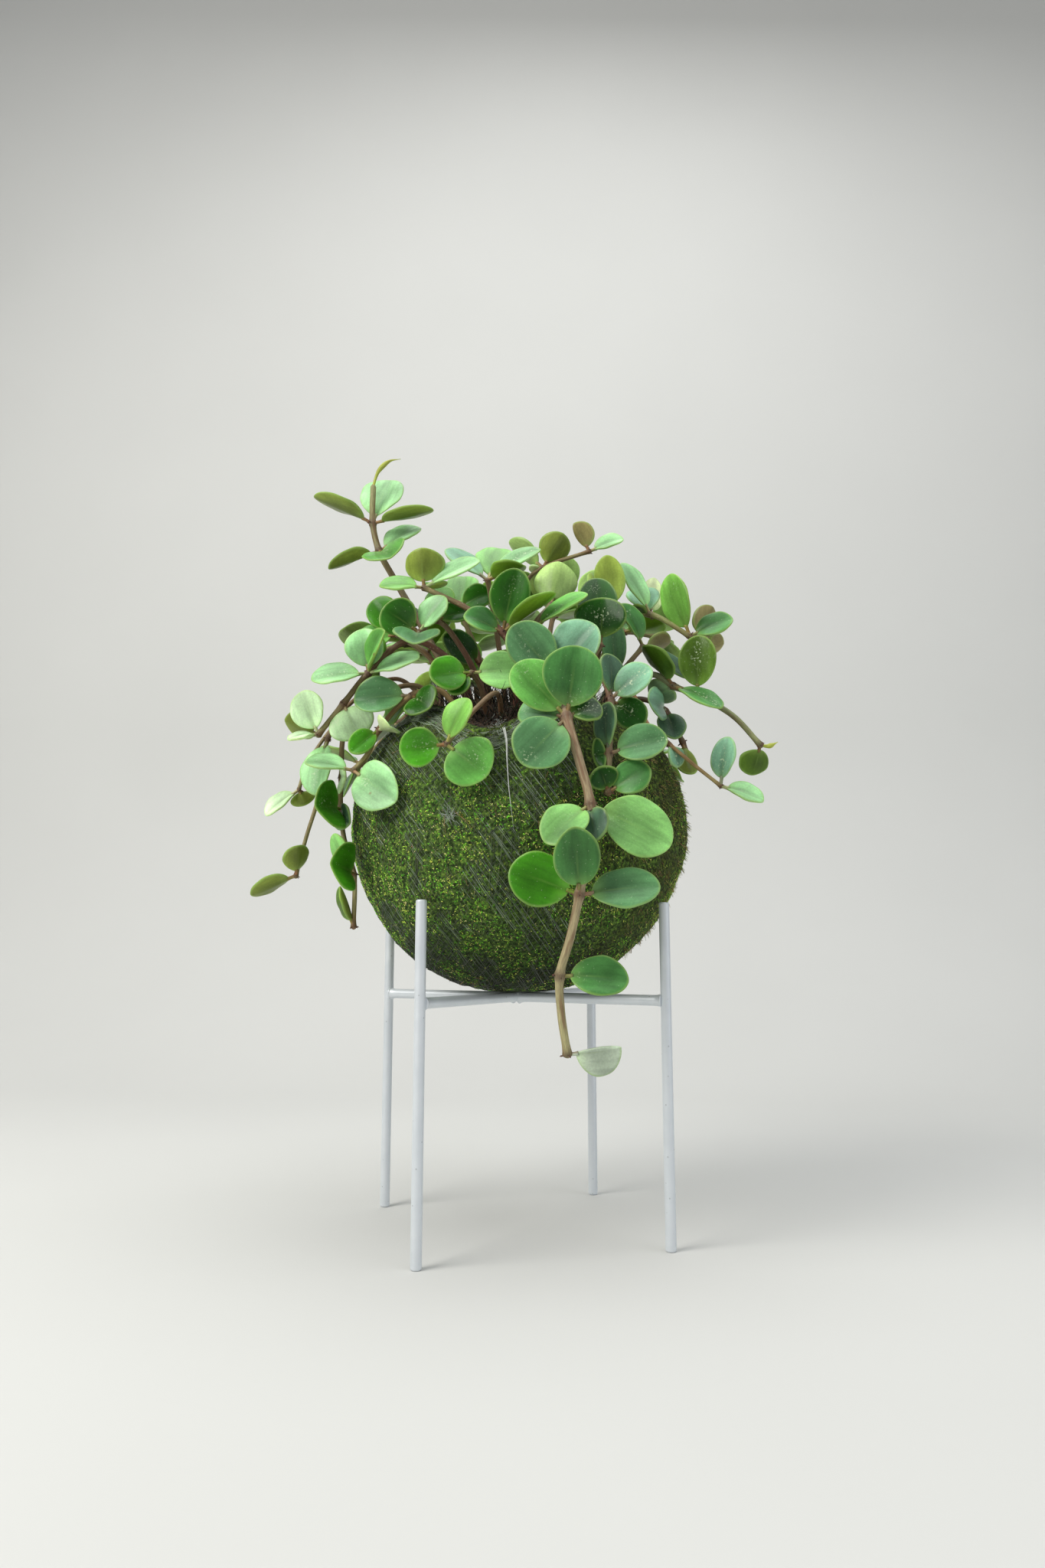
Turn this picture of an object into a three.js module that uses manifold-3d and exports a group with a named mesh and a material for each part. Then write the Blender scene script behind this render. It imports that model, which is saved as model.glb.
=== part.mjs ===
// A kokedama: a ball of moss wound with thread round a soil core, set on a small stand of round rods.
// A trailing house plant with fleshy oval leaves grows from the open top of the ball and hangs down
// its sides. Millimetres, +Z up. The model is built round the stand's upright axis and then moved, so
// that the origin lies at the middle of its bounding box, on the surface that the four feet stand on.

import * as THREE from 'three';
import Module from 'manifold-3d';

const wasm = await Module();
wasm.setup();

// Driving dimensions

const GAP = 0.3;                      // clearance between touching pieces

const ROD_DIAMETER = 5;
const LEG_CIRCLE = 82;                // radius of the circle on which the legs stand
const LEG_TURN = -27.6;               // degrees from +X to the first leg
const LEG_HEIGHT = 157;
const BAR_HEIGHT = 111.2;             // height of the middle line of the cross bars
const ROD_SIDES = 12;
const ROD_BEVEL = 0.6;

const BALL_CENTRE = [1.4, 0, 194.9];
const BALL_RADIUS = 86.4;             // sideways
const BALL_HALF_HEIGHT = 82.7;
const MOSS_THICKNESS = 8;
const MOUTH_ANGLE = 44;               // degrees down from the top to the edge of the open mouth
const MOUTH_DIP = 13;                 // degrees that the moss has slipped lower at the front
const MOUTH_DIP_AT = -97;             // degrees round from +X
const MOUTH_DIP_WIDTH = 17;
const SOIL_TOP = 262;                 // height of the soil in the middle of the mouth

const LEAF_THICKNESS = 1.8;
const PETIOLE_SHARE = 0.15;           // of the length from the stem to the tip of the leaf
const PETIOLE_RADIUS = 0.85;
const LEAF_CUP = [0.06, 0.18];        // rise of the edges, as a share of the width
const LEAF_DROOP = [0.02, 0.1];       // fall of the tip, as a share of the length
const LEAF_CLEARANCE = 2.5;           // between the middle surfaces of leaves of two stems
const SIBLING_CLEARANCE = 1.5;        // between those of one stem

// The point from which the leaves' places are sighted. A sighted point is written as the place y of an
// upright pane, the x and z where the line of sight meets that pane, and the depth y of the point itself.

const VIEWPOINT = [36.5, -543.2, 134.8];

// Stems that show from the front. Each has its radius, true points [x, y, z] from its foot in the soil
// to where it leaves the crown, and then sighted points [pane, x, z, depth]. A leaf is written as the
// number of the point that it grows from, its sighted tip, the way its upper face looks, its width, and
// for a folded leaf how much of one half is out of sight. A shoot is the thin young end of a stem that has
// no leaves yet.

const SEEN_STEMS = [
  {name: "front_trailer", radius: 2.2,
   crown: [[18, -44, 248], [21, -58, 260]],
   route: [[-85, 26, 246, -80], [-85, 28, 237, -88], [-85, 33.5, 217, -91], [-85, 38, 198, -91],
             [-92, 37, 180, -92], [-92, 33, 158, -91], [-92, 29, 140, -89], [-92, 24.5, 124, -86],
             [-92, 25, 108, -83], [-92, 27.5, 91.5, -82]],
   leaves: [
     [3, [-85, 33, 270, -92], [0.05, -1, 0.2], 27],
     [3, [-85, 5, 262, -88], [-0.15, -1, 0.35], 22],
     [3, [-85, 8, 216, -96], [-0.1, -1, 0.05], 26],
     [3, [-85, 6.5, 240, -82], [-0.1, -0.9, 0.4], 18],
     [3, [-85, 43, 243, -84], [0.1, -0.8, 0.5], 18],
     [5, [-92, 72.5, 179, -90], [0.15, -1, 0.2], 26],
     [5, [-92, 46, 180, -90], [-0.5, -0.8, 0.1], 16],
     [5, [-92, 21, 174, -92], [-0.3, -0.9, 0.2], 20],
     [7, [-92, 30, 191, -97], [0.05, -1, 0.1], 20],
     [7, [-92, 3, 169, -93], [-0.05, -1, 0.15], 24],
     [7, [-92, 67.5, 161.5, -92], [0.1, -0.85, 0.45], 20],
     [9, [-92, 53.5, 122, -86], [0, -0.85, 0.45], 19],
     [11, [-92, 50, 94.5, -82], [0.05, -0.95, -0.3], 22, 0.85]]},
  {name: "right_front_trailer", radius: 1.7,
   crown: [[34, -37, 250], [42, -54, 264]],
   route: [[-85, 47.5, 245, -72], [-85, 46.5, 220.5, -78], [-85, 46, 203, -81]],
   leaves: [
     [2, [-85, 66, 259, -78], [-0.1, -0.9, 0.4], 17],
     [2, [-85, 47, 266, -70], [0.6, -0.8, 0.1], 15],
     [2, [-85, 60, 231, -74], [0.1, -1, 0.1], 16],
     [3, [-85, 41.5, 243.5, -84], [-0.75, -0.65, 0], 15],
     [3, [-85, 72.5, 226.5, -84], [0, -0.95, 0.35], 19],
     [3, [-85, 40, 217, -78], [0.1, -0.95, 0.1], 15],
     [4, [-85, 64.5, 214, -84], [0.1, -0.9, 0.4], 17],
     [4, [-85, 40, 213.5, -80], [0.3, -0.9, 0.1], 14]]},
  {name: "right_low_twig", radius: 1.1,
   crown: [[48, -20, 249], [58, -30, 262]],
   route: [[-30, 68, 244, -38], [-30, 77, 235.5, -40], [-30, 90, 224, -40], [-30, 102, 214, -40]],
   leaves: [
     [3, [-30, 84, 225, -42], [0.5, -0.6, 0.5], 13],
     [5, [-30, 106.5, 238.5, -42], [-0.5, -0.8, 0.1], 13],
     [5, [-30, 122.5, 206, -44], [0.2, -0.75, 0.65], 13]]},
  {name: "right_reaching_stem", radius: 1.7,
   crown: [[40, -8, 250], [52, -15, 272]],
   route: [[-20, 72, 273, -22], [-20, 81, 267, -26], [-20, 93, 262, -28], [-30, 109, 249, -30],
             [-30, 122, 234, -30]],
   shoot: [[-30, 126, 233.5, -30], [-30, 130.5, 235.5, -31]],
   leaves: [
     [3, [-20, 61.5, 286.5, -32], [0.5, 0.3, 0.8], 17],
     [3, [-30, 67, 261, -8], [0.2, 0.6, 0.6], 16],
     [3, [-30, 102, 248.5, -42], [0.3, -0.7, 0.7], 17],
     [4, [-20, 94.5, 293.5, -32], [-0.2, -0.95, 0.1], 19],
     [6, [-30, 117, 219, -22], [-0.3, 0.75, 0.5], 17],
     [1, [-20, 53, 300.5, -40], [0.25, -0.95, 0.1], 14]]},
  {name: "right_arching_stem", radius: 1.6,
   crown: [[34, 6, 251], [44, 2, 285]],
   route: [[-20, 58, 303, -5], [-20, 70, 305, -10], [-20, 90, 293, -15], [-20, 98, 288, -12]],
   leaves: [
     [3, [-20, 55.5, 333, -14], [0.55, -0.75, 0.35], 15],
     [3, [-20, 64, 318.5, 2], [0, -0.8, 0.6], 18],
     [3, [-20, 60, 307, -8], [0, -0.35, 0.95], 14],
     [4, [-20, 80.5, 326.5, -20], [-0.75, -0.65, 0.2], 19],
     [4, [-20, 112, 302, -20], [-0.2, -0.85, 0.5], 16],
     [5, [-20, 102, 308.5, 2], [-0.2, 0.7, 0.55], 19],
     [5, [-20, 107, 289, -4], [-0.2, 0.7, 0.5], 12],
     [3, [-20, 72, 328.5, 6], [0.1, 0.9, 0.3], 13]]},
  {name: "right_inner_stem", radius: 1.6,
   crown: [[42, -18, 250], [52, -22, 270]],
   route: [[-20, 66, 288, -20]],
   leaves: [
     [2, [-20, 54.5, 311, -26], [0.6, -0.7, 0.35], 16],
     [2, [-20, 88.5, 271, -24], [0.25, -0.75, 0.6], 18],
     [2, [-20, 80, 290, -6], [0.2, 0.7, 0.6], 13]]},
  {name: "right_upright_stem", radius: 1.5,
   crown: [[36, -20, 250], [42, -22, 280]],
   route: [[-20, 51, 307, -22]],
   leaves: [
     [2, [-20, 48, 337.5, -28], [0.1, 0.95, 0.3], 16],
     [2, [-45, 42.5, 321, -14], [-0.8, 0.55, 0.2], 12]]},
  {name: "centre_right_stem", radius: 1.6,
   crown: [[30, -32, 249], [35, -37, 268]],
   route: [[-45, 44, 282, -44]],
   leaves: [
     [2, [-45, 46, 306, -48], [-0.1, -0.8, 0.55], 26],
     [2, [-45, 42, 316, -34], [0, -0.9, 0.4], 20]]},
  {name: "centre_front_stem", radius: 1.7,
   crown: [[24, -34, 248], [24, -46, 262]],
   route: [[-45, 22, 266, -56]],
   leaves: [
     [2, [-45, 42, 292, -66], [0, -0.85, 0.5], 28],
     [2, [-45, 0.5, 292.5, -62], [-0.05, -1, 0.15], 23]]},
  {name: "centre_back_stem", radius: 1.6,
   crown: [[6, -30, 249], [9, -38, 272]],
   route: [[-45, 11, 291, -46], [-45, 20, 303, -38]],
   leaves: [
     [2, [-45, 38, 308, -50], [-0.4, -0.65, 0.65], 16],
     [3, [-45, 24, 325, -34], [0.05, 0.9, 0.4], 22]]},
  {name: "top_right_stem", radius: 1.3,
   crown: [[4, 0, 251], [2, 4, 285]],
   route: [[-45, 8, 315, 0], [-45, 16, 322, -4], [-45, 39, 330, -8]],
   leaves: [
     [3, [-45, 26, 339.5, -14], [0.1, 0.75, 0.6], 17],
     [3, [-45, -1, 336, 2], [0.3, 0.5, 0.8], 14],
     [3, [-45, 10, 324, 0], [0.2, -0.3, 0.9], 8],
     [4, [-45, 31.5, 345, -10], [0.3, 0.9, 0.1], 15, -0.6],
     [4, [-45, 56, 336, -10], [-0.1, -0.85, 0.6], 12]]},
  {name: "top_left_stem", radius: 1.5,
   crown: [[-4, -14, 252], [-8, -22, 290]],
   route: [[-45, -11.5, 316, -32]],
   leaves: [
     [2, [-45, -32.5, 333, -28], [0.35, -0.8, 0.55], 14],
     [2, [-45, -5.5, 336.5, -14], [0.1, -0.75, 0.65], 20],
     [2, [-45, 14.5, 332, -24], [-0.3, -0.85, 0.55], 14],
     [2, [-45, 6, 326.5, -44], [-0.3, 0.25, 0.9], 17]]},
  {name: "left_long_stem", radius: 1.6,
   crown: [[2, -38, 248], [2, -44, 272]],
   route: [[-45, -4, 289, -45], [-45, -22, 302, -45], [-45, -43.5, 313, -45]],
   leaves: [
     [2, [-45, 3, 322, -52], [0.05, -1, 0.15], 20],
     [2, [-45, -23.5, 298, -54], [-0.2, -0.85, 0.5], 17],
     [4, [-45, -66, 314.5, -48], [0.1, -0.68, 0.68], 15],
     [4, [-45, -45, 334, -50], [0.15, 0.9, 0.4], 21],
     [4, [-45, -15.5, 326.5, -46], [-0.35, -0.8, 0.55], 15],
     [4, [-45, -33, 314, -34], [-0.1, -0.4, 0.9], 12],
     [2, [-45, 22, 309, -56], [-0.45, 0.1, 0.9], 17]]},
  {name: "tall_stem", radius: 1.9,
   crown: [[-14, -22, 250]],
   route: [[-20, -34, 276, -24], [-20, -50, 304, -22], [-20, -63.5, 327.5, -21],
             [-20, -71.5, 342.5, -20], [-20, -75.3, 358, -20], [-20, -75.5, 378.5, -20]],
   shoot: [[-20, -74.5, 383, -20], [-20, -72.5, 388, -20], [-20, -67, 393, -20], [-20, -61, 394, -20]],
   leaves: [
     [4, [-20, -50, 355, -12], [-0.3, -0.85, 0.55], 17],
     [4, [-20, -65.5, 338.5, -42], [-0.4, -0.35, 0.85], 24],
     [4, [-20, -98.5, 333.5, -24], [-0.3, 0.05, 0.95], 15],
     [5, [-20, -107.5, 374, -26], [0.3, 0.12, 0.93], 18],
     [5, [-20, -43, 365, -26], [-0.2, 0, 0.96], 16],
     [5, [-20, -66.5, 382, -4], [0, -0.7, 0.72], 24]]},
  {name: "left_arching_stem", radius: 1.7,
   crown: [[-18, -34, 249], [-28, -40, 274]],
   route: [[-45, -50, 286, -45], [-45, -70.5, 269.5, -45], [-30, -86, 258, -46], [-30, -98.5, 242, -46]],
   leaves: [
     [3, [-45, -73, 292.5, -50], [-0.1, -0.95, 0.3], 20],
     [3, [-45, -64.5, 296, -58], [-0.85, -0.5, 0.1], 16],
     [3, [-45, -64, 289, -42], [0.2, -0.9, 0.3], 14],
     [3, [-45, -43.5, 279.5, -56], [-0.35, -0.6, 0.7], 18],
     [3, [-30, -103, 270.5, -54], [-0.05, -0.7, 0.7], 20],
     [4, [-30, -77, 240, -44], [0, -1, -0.3], 24],
     [5, [-30, -107, 265, -50], [-0.3, -0.85, 0.35], 18],
     [5, [-30, -116, 250, -38], [0.3, 0.8, 0.45], 15],
     [5, [-30, -114, 239.5, -54], [-0.2, -0.5, 0.8], 13]]},
  {name: "left_crown_stem", radius: 1.6,
   crown: [[-10, -28, 250], [-24, -36, 282]],
   route: [[-45, -37, 296, -42], [-45, -45.5, 290, -46]],
   leaves: [
     [3, [-45, -64, 303, -50], [-0.3, -0.9, 0.2], 20],
     [3, [-45, -32.5, 308, -50], [-0.2, -0.9, 0.4], 16],
     [3, [-45, -48, 284, -64], [0.1, -0.6, 0.8], 23],
     [2, [-45, -20, 300, -40], [0, -0.9, 0.4], 14]]},
  {name: "left_back_stem", radius: 1.6,
   crown: [[-24, -14, 250], [-42, -20, 282]],
   route: [[-45, -56, 289, -26]],
   leaves: [
     [2, [-45, -68.5, 307.5, -24], [-0.3, -0.85, 0.3], 17],
     [2, [-45, -80, 283, -26], [-0.2, -0.9, 0.3], 17],
     [2, [-45, -50, 304, -12], [0.2, -0.85, 0.4], 18]]},
  {name: "left_inner_stem", radius: 1.5,
   crown: [[-16, -10, 251], [-18, -12, 282]],
   route: [[-45, -26, 302, -13]],
   leaves: [
     [2, [-45, -42, 309, -10], [-0.2, -0.85, 0.4], 17],
     [2, [-45, -9, 310, -12], [0.1, -0.9, 0.3], 16],
     [2, [-45, -24, 324, -4], [0, -0.75, 0.65], 18],
     [1, [-45, -34, 288, -30], [0.1, -0.95, 0.2], 17]]},
  {name: "left_front_trailer", radius: 1.5,
   crown: [[-24, -46, 247], [-34, -50, 259]],
   route: [[-45, -48.5, 258, -49], [-45, -64.5, 241, -49], [-30, -73, 232, -50], [-30, -80, 223.5, -52]],
   leaves: [
     [2, [-45, -75, 252, -44], [0, -0.95, 0.25], 20],
     [2, [-45, -38.5, 249.5, -58], [0.1, -0.95, 0.2], 19],
     [2, [-45, -65, 247, -42], [-0.2, -0.9, 0.3], 14],
     [3, [-45, -50, 233.5, -62], [-0.5, 0.5, 0.5], 13],
     [3, [-30, -81.5, 231, -50], [0.5, -0.6, 0.5], 12],
     [5, [-30, -105, 228, -56], [0.1, -0.55, 0.8], 17],
     [5, [-30, -54.5, 206, -68], [-0.4, -0.9, 0.15], 23]]},
  {name: "front_left_spray", radius: 1.3,
   crown: [[-4, -48, 246], [-5, -62, 254]],
   route: [[-80, -13, 243, -80], [-80, -26.5, 226.5, -86]],
   leaves: [
     [3, [-80, -16.5, 247.5, -90], [-0.5, -0.8, 0.3], 17],
     [3, [-80, -48, 224, -88], [-0.1, -1, -0.1], 18],
     [3, [-80, -8, 211.5, -90], [0, -1, 0.1], 25]]},
  {name: "centre_left_stem", radius: 1.4,
   crown: [[-12, -42, 248], [-15, -48, 262]],
   route: [[-45, -19.5, 269, -54]],
   leaves: [
     [2, [-45, -40, 267.5, -64], [-0.2, -0.95, 0.1], 19],
     [2, [-45, 6, 261, -50], [0.2, -1, 0.2], 21],
     [2, [-45, -29, 256, -52], [0.1, -0.9, 0.3], 12]]},
  {name: "left_hanging_stem", radius: 1.4,
   crown: [[-34, -10, 250], [-50, -15, 270], [-70, -22, 264]],
   route: [[-30, -84.5, 245, -30], [-30, -86, 220, -32], [-30, -86, 204, -33], [-30, -84, 190, -34],
             [-30, -78.5, 171.5, -37], [-30, -78, 146, -38]],
   leaves: [
     [4, [-30, -84, 219, -38], [-0.85, -0.5, 0], 17],
     [5, [-30, -79, 196.5, -42], [-0.7, -0.7, 0], 14],
     [5, [-30, -97.5, 201, -58], [0.75, -0.6, 0.15], 25],
     [7, [-30, -90.5, 177, -60], [0.75, -0.6, 0.15], 24],
     [7, [-30, -82, 193, -34], [-0.6, -0.7, 0.1], 12],
     [8, [-30, -82.5, 166.5, -40], [-0.9, -0.35, 0], 14]]},
  {name: "left_far_trailer", radius: 1.2,
   crown: [[-38, -2, 250], [-62, -8, 276], [-84, -18, 262]],
   route: [[-30, -93.5, 240, -30], [-30, -97.5, 210, -32], [-30, -103, 190, -33],
             [-30, -107.5, 171, -34]],
   leaves: [
     [3, [-30, -91.5, 210.5, -38], [-0.35, -0.9, 0.1], 19],
     [6, [-30, -110, 188, -38], [-0.5, 0.6, 0.1], 14],
     [6, [-30, -130, 161.5, -38], [-0.2, 0.4, 0.85], 14]]},
  {name: "left_far_twig", radius: 1.1,
   crown: [[-42, 8, 250], [-66, 4, 272], [-90, -6, 258]],
   route: [[-30, -104, 226, -18], [-30, -107.5, 214, -20]],
   leaves: [
     [4, [-30, -124, 201, -24], [-0.4, -0.75, 0.5], 13],
     [4, [-30, -104, 206, -18], [-0.1, 0.8, -0.1], 13]]},
  {name: "right_withered_stem", radius: 1.5,
   crown: [[46, 6, 250], [62, 4, 266]],
   route: [[-30, 76, 252, -6], [-30, 84, 236, -4], [-30, 89, 222, -3]],
   leaves: [
     [3, [-30, 86, 217, -8], [-0.2, 0.8, 0.3], 12],
     [2, [-30, 80.5, 237.5, -22], [0.1, -0.95, 0.2], 15],
     [2, [-30, 73.5, 269.5, -38], [0.85, -0.5, 0], 17]]},
];

// Stems of the unseen back and middle: the direction round from +X in degrees, how far out the foot and the
// tip are from the axis, the height that the stem bows up to, and the height of its tip.

const BACK_STEMS = [
  [20, 36, 78, 318, 306],
  [42, 44, 104, 300, 246],
  [62, 30, 70, 352, 338],
  [80, 42, 98, 304, 262],
  [98, 26, 56, 340, 330],
  [112, 44, 108, 296, 218],
  [134, 34, 84, 326, 304],
  [152, 44, 102, 300, 240],
  [176, 40, 76, 314, 294],
  [150, 14, 30, 286, 282],
];
const BACK_FOOT_HEIGHT = 249;
const BACK_SWAY = 7;
const BACK_POINTS = 5;                // points along each of these stems
const BACK_RADIUS = 1.6;
const BACK_WHORLS = [[2, 2], [3, 2], [4, 3]];   // the number of a point and how many leaves it carries

// Small helpers on points written as [x, y, z]

const add = (a, b) => [a[0] + b[0], a[1] + b[1], a[2] + b[2]];
const minus = (a, b) => [a[0] - b[0], a[1] - b[1], a[2] - b[2]];
const times = (a, k) => [a[0] * k, a[1] * k, a[2] * k];
const dot = (a, b) => a[0] * b[0] + a[1] * b[1] + a[2] * b[2];
const cross = (a, b) => [a[1] * b[2] - a[2] * b[1], a[2] * b[0] - a[0] * b[2], a[0] * b[1] - a[1] * b[0]];
const size = (a) => Math.sqrt(dot(a, a));
const unit = (a) => times(a, 1 / size(a));
const squareTo = (a, axis) => unit(minus(a, times(axis, dot(a, axis))));
const radians = (degrees) => degrees * Math.PI / 180;

// A repeatable draw between low and high

let drawState = 20260;
function draw(low, high) {
  drawState = (drawState * 16807) % 2147483647;
  return low + (high - low) * drawState / 2147483647;
}

// The true point that a sighted one stands for
function sighted([pane, x, z, depth]) {
  const stretch = (depth - VIEWPOINT[1]) / (pane - VIEWPOINT[1]);
  return [
    VIEWPOINT[0] + (x - VIEWPOINT[0]) * stretch,
    depth,
    VIEWPOINT[2] + (z - VIEWPOINT[2]) * stretch,
  ];
}

// Solids and meshes

function solidFrom(points, faces) {
  const vertProperties = Float32Array.from(points.flat());
  const triVerts = Uint32Array.from(faces.flat());
  return new wasm.Manifold(new wasm.Mesh({ numProp: 3, vertProperties, triVerts }));
}

function joined(solids) {
  return solids.reduce((whole, piece) => whole.add(piece));
}

const group = new THREE.Group();

function addNode(name, solid, material) {
  const mesh = solid.getMesh();
  const geometry = new THREE.BufferGeometry();
  geometry.setAttribute('position', new THREE.BufferAttribute(mesh.vertProperties, 3));
  geometry.setIndex(new THREE.BufferAttribute(mesh.triVerts, 1));
  geometry.computeVertexNormals();
  const node = new THREE.Mesh(geometry, material);
  node.name = name;
  group.add(node);
}

// A closed solid from rings of points, each ring with the same number of points going round anticlockwise
// as seen from the last ring, with a point in the middle of each end.
function solidFromRings(rings, first, last) {
  const sides = rings[0].length;
  const points = [...rings.flat(), first, last];
  const firstIndex = points.length - 2;
  const lastIndex = points.length - 1;
  const top = (rings.length - 1) * sides;
  const faces = [];
  for (let side = 0; side < sides; side += 1) {
    const next = (side + 1) % sides;
    faces.push([firstIndex, next, side]);
    faces.push([lastIndex, top + side, top + next]);
    for (let ring = 0; ring + 1 < rings.length; ring += 1) {
      const low = ring * sides;
      const high = low + sides;
      faces.push([low + side, low + next, high + next]);
      faces.push([low + side, high + next, high + side]);
    }
  }
  return solidFrom(points, faces);
}

// A round bar along a list of points, with a radius for each. Its sides are carried along without twist.
function bar(points, radii, sides) {
  let across = [0, 0, 0];
  const rings = points.map((point, index) => {
    const before = points[Math.max(index - 1, 0)];
    const after = points[Math.min(index + 1, points.length - 1)];
    const along = unit(minus(after, before));
    const start = Math.abs(along[2]) < 0.9 ? [0, 0, 1] : [1, 0, 0];
    across = squareTo(index === 0 ? start : across, along);
    const up = cross(along, across);
    return Array.from({ length: sides }, (_, side) => {
      const turn = 2 * Math.PI * side / sides;
      const outward = add(times(across, Math.cos(turn)), times(up, Math.sin(turn)));
      return add(point, times(outward, radii[index]));
    });
  });
  return solidFromRings(rings, points[0], points[points.length - 1]);
}

// Stand

function rodSolid(from, to) {
  const radius = ROD_DIAMETER / 2;
  const along = unit(minus(to, from));
  const points = [from, add(from, times(along, ROD_BEVEL)), minus(to, times(along, ROD_BEVEL)), to];
  return bar(points, [radius - ROD_BEVEL, radius, radius, radius - ROD_BEVEL], ROD_SIDES);
}

const LEG_NAMES = ['leg_right', 'leg_back', 'leg_left', 'leg_front'];
const legFeet = LEG_NAMES.map((_, index) => {
  const turn = radians(LEG_TURN + 90 * index);
  return [LEG_CIRCLE * Math.cos(turn), LEG_CIRCLE * Math.sin(turn), 0];
});

function pointOnBar(foot, distance) {
  const outward = times(foot, distance / LEG_CIRCLE);
  return [outward[0], outward[1], BAR_HEIGHT];
}

function addStand(material) {
  const reach = LEG_CIRCLE - ROD_DIAMETER / 2 - GAP;
  const inner = ROD_DIAMETER / 2 + GAP;
  const [right, back, left, front] = legFeet;
  LEG_NAMES.forEach((name, index) => {
    addNode(name, rodSolid(legFeet[index], add(legFeet[index], [0, 0, LEG_HEIGHT])), material);
  });
  addNode('cross_bar_through', rodSolid(pointOnBar(front, reach), pointOnBar(back, reach)), material);
  addNode('cross_bar_right', rodSolid(pointOnBar(right, inner), pointOnBar(right, reach)), material);
  addNode('cross_bar_left', rodSolid(pointOnBar(left, inner), pointOnBar(left, reach)), material);
}

// Moss ball

// A point of the ball at an angle down from its top and round from +X, set in or out by an amount
function ballPoint(down, round, out) {
  return [
    BALL_CENTRE[0] + (BALL_RADIUS + out) * Math.sin(down) * Math.cos(round),
    BALL_CENTRE[1] + (BALL_RADIUS + out) * Math.sin(down) * Math.sin(round),
    BALL_CENTRE[2] + (BALL_HALF_HEIGHT + out) * Math.cos(down),
  ];
}

// Angle down from the top at which the mouth opens, with a dip at the front where the moss has slipped
function mouthAngle(round) {
  const turns = round / (2 * Math.PI) - MOUTH_DIP_AT / 360;
  const away = 360 * (turns - Math.round(turns));
  return radians(MOUTH_ANGLE + MOUTH_DIP * Math.exp(-((away / MOUTH_DIP_WIDTH) ** 2)));
}

// The ragged edge of the moss wanders up and down round the mouth
function mouthWave(round) {
  return radians(1.4 * Math.sin(3 * round + 0.7) + Math.sin(7 * round + 2.1));
}

// Height of the moss surface over the plain ball: pads of moss between the bands of thread
function mossRelief(down, round) {
  const firstWinding = Math.sin(4 * round + 5 * down);
  const secondWinding = Math.sin(5 * round - 4 * down + 1.3);
  const lumps = Math.sin(3 * round + 2 * Math.sin(3 * down)) * Math.sin(4 * down + 0.6);
  const fade = Math.sin(down);
  return fade * (0.7 * firstWinding + 0.6 * secondWinding + 0.8 * lumps) - 0.9;
}

const MOSS_SIDES = 36;
const MOSS_ROWS = 15;
const INSIDE_ROWS = 8;                // rows of facets on the inside of the moss and on the soil in it
const SEAT_HEIGHT = BAR_HEIGHT + ROD_DIAMETER / 2 + GAP;
const LIP_OUTSIDE = 3;                // degrees past the mouth at the outer edge of the lip
const LIP_INSIDE = 1.6;

function ringRound(sides, pointAt) {
  return Array.from({ length: sides }, (_, side) => pointAt(2 * Math.PI * side / sides));
}

// Angle down from the top to a row of facets inside the moss
function insideAngle(round, row) {
  const edge = mouthAngle(round) + radians(LIP_INSIDE);
  return edge + (Math.PI - edge) * row / INSIDE_ROWS;
}

function mossShell() {
  const seated = (point) => [point[0], point[1], Math.max(point[2], SEAT_HEIGHT)];
  const rings = [];
  for (let row = 1; row <= MOSS_ROWS; row += 1) {
    rings.push(ringRound(MOSS_SIDES, (round) => {
      const edge = mouthAngle(round) + mouthWave(round) + radians(LIP_OUTSIDE);
      const down = Math.PI - (Math.PI - edge) * row / MOSS_ROWS;
      return seated(ballPoint(down, round, mossRelief(down, round)));
    }));
  }
  rings.push(ringRound(MOSS_SIDES, (round) => {
    return ballPoint(mouthAngle(round) + mouthWave(round), round, -MOSS_THICKNESS * 0.4);
  }));
  for (let row = 0; row < INSIDE_ROWS; row += 1) {
    const inwards = (round) => ballPoint(insideAngle(round, row), round, -MOSS_THICKNESS);
    rings.push(ringRound(MOSS_SIDES, inwards));
  }
  const middle = [BALL_CENTRE[0], BALL_CENTRE[1]];
  const inside = BALL_CENTRE[2] - BALL_HALF_HEIGHT + MOSS_THICKNESS;
  return solidFromRings(rings, [...middle, SEAT_HEIGHT], [...middle, inside]);
}

// Soil core, with a hole for the foot of each stem

const SOIL_SIDES = MOSS_SIDES / 2;
const SOIL_TOP_ROWS = 3;
const SOIL_GAP = 3 * GAP;             // between the corners of the facets of the moss and of the soil

function soilCore(holes) {
  const inset = -MOSS_THICKNESS - SOIL_GAP;
  const rings = [];
  for (let row = INSIDE_ROWS - 1; row >= 0; row -= 1) {
    rings.push(ringRound(SOIL_SIDES, (round) => ballPoint(insideAngle(round, row), round, inset)));
  }
  for (let row = 1; row <= SOIL_TOP_ROWS; row += 1) {
    rings.push(ringRound(SOIL_SIDES, (round) => {
      const edge = ballPoint(insideAngle(round, 0), round, inset);
      const share = row / (SOIL_TOP_ROWS + 1);
      const lump = 0.9 * Math.sin(5 * round + 3 * row) * Math.sin(2 * row);
      const rise = (SOIL_TOP - edge[2]) * Math.sin(share * Math.PI / 2) + lump;
      return [
        edge[0] + (BALL_CENTRE[0] - edge[0]) * share,
        edge[1] + (BALL_CENTRE[1] - edge[1]) * share,
        edge[2] + rise,
      ];
    }));
  }
  const bottom = BALL_CENTRE[2] - BALL_HALF_HEIGHT + MOSS_THICKNESS + SOIL_GAP;
  const core = solidFromRings(
    rings,
    [BALL_CENTRE[0], BALL_CENTRE[1], bottom],
    [BALL_CENTRE[0], BALL_CENTRE[1], SOIL_TOP],
  );
  return holes.reduce((soil, hole) => soil.subtract(hole), core);
}

// Stems and leaves

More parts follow.
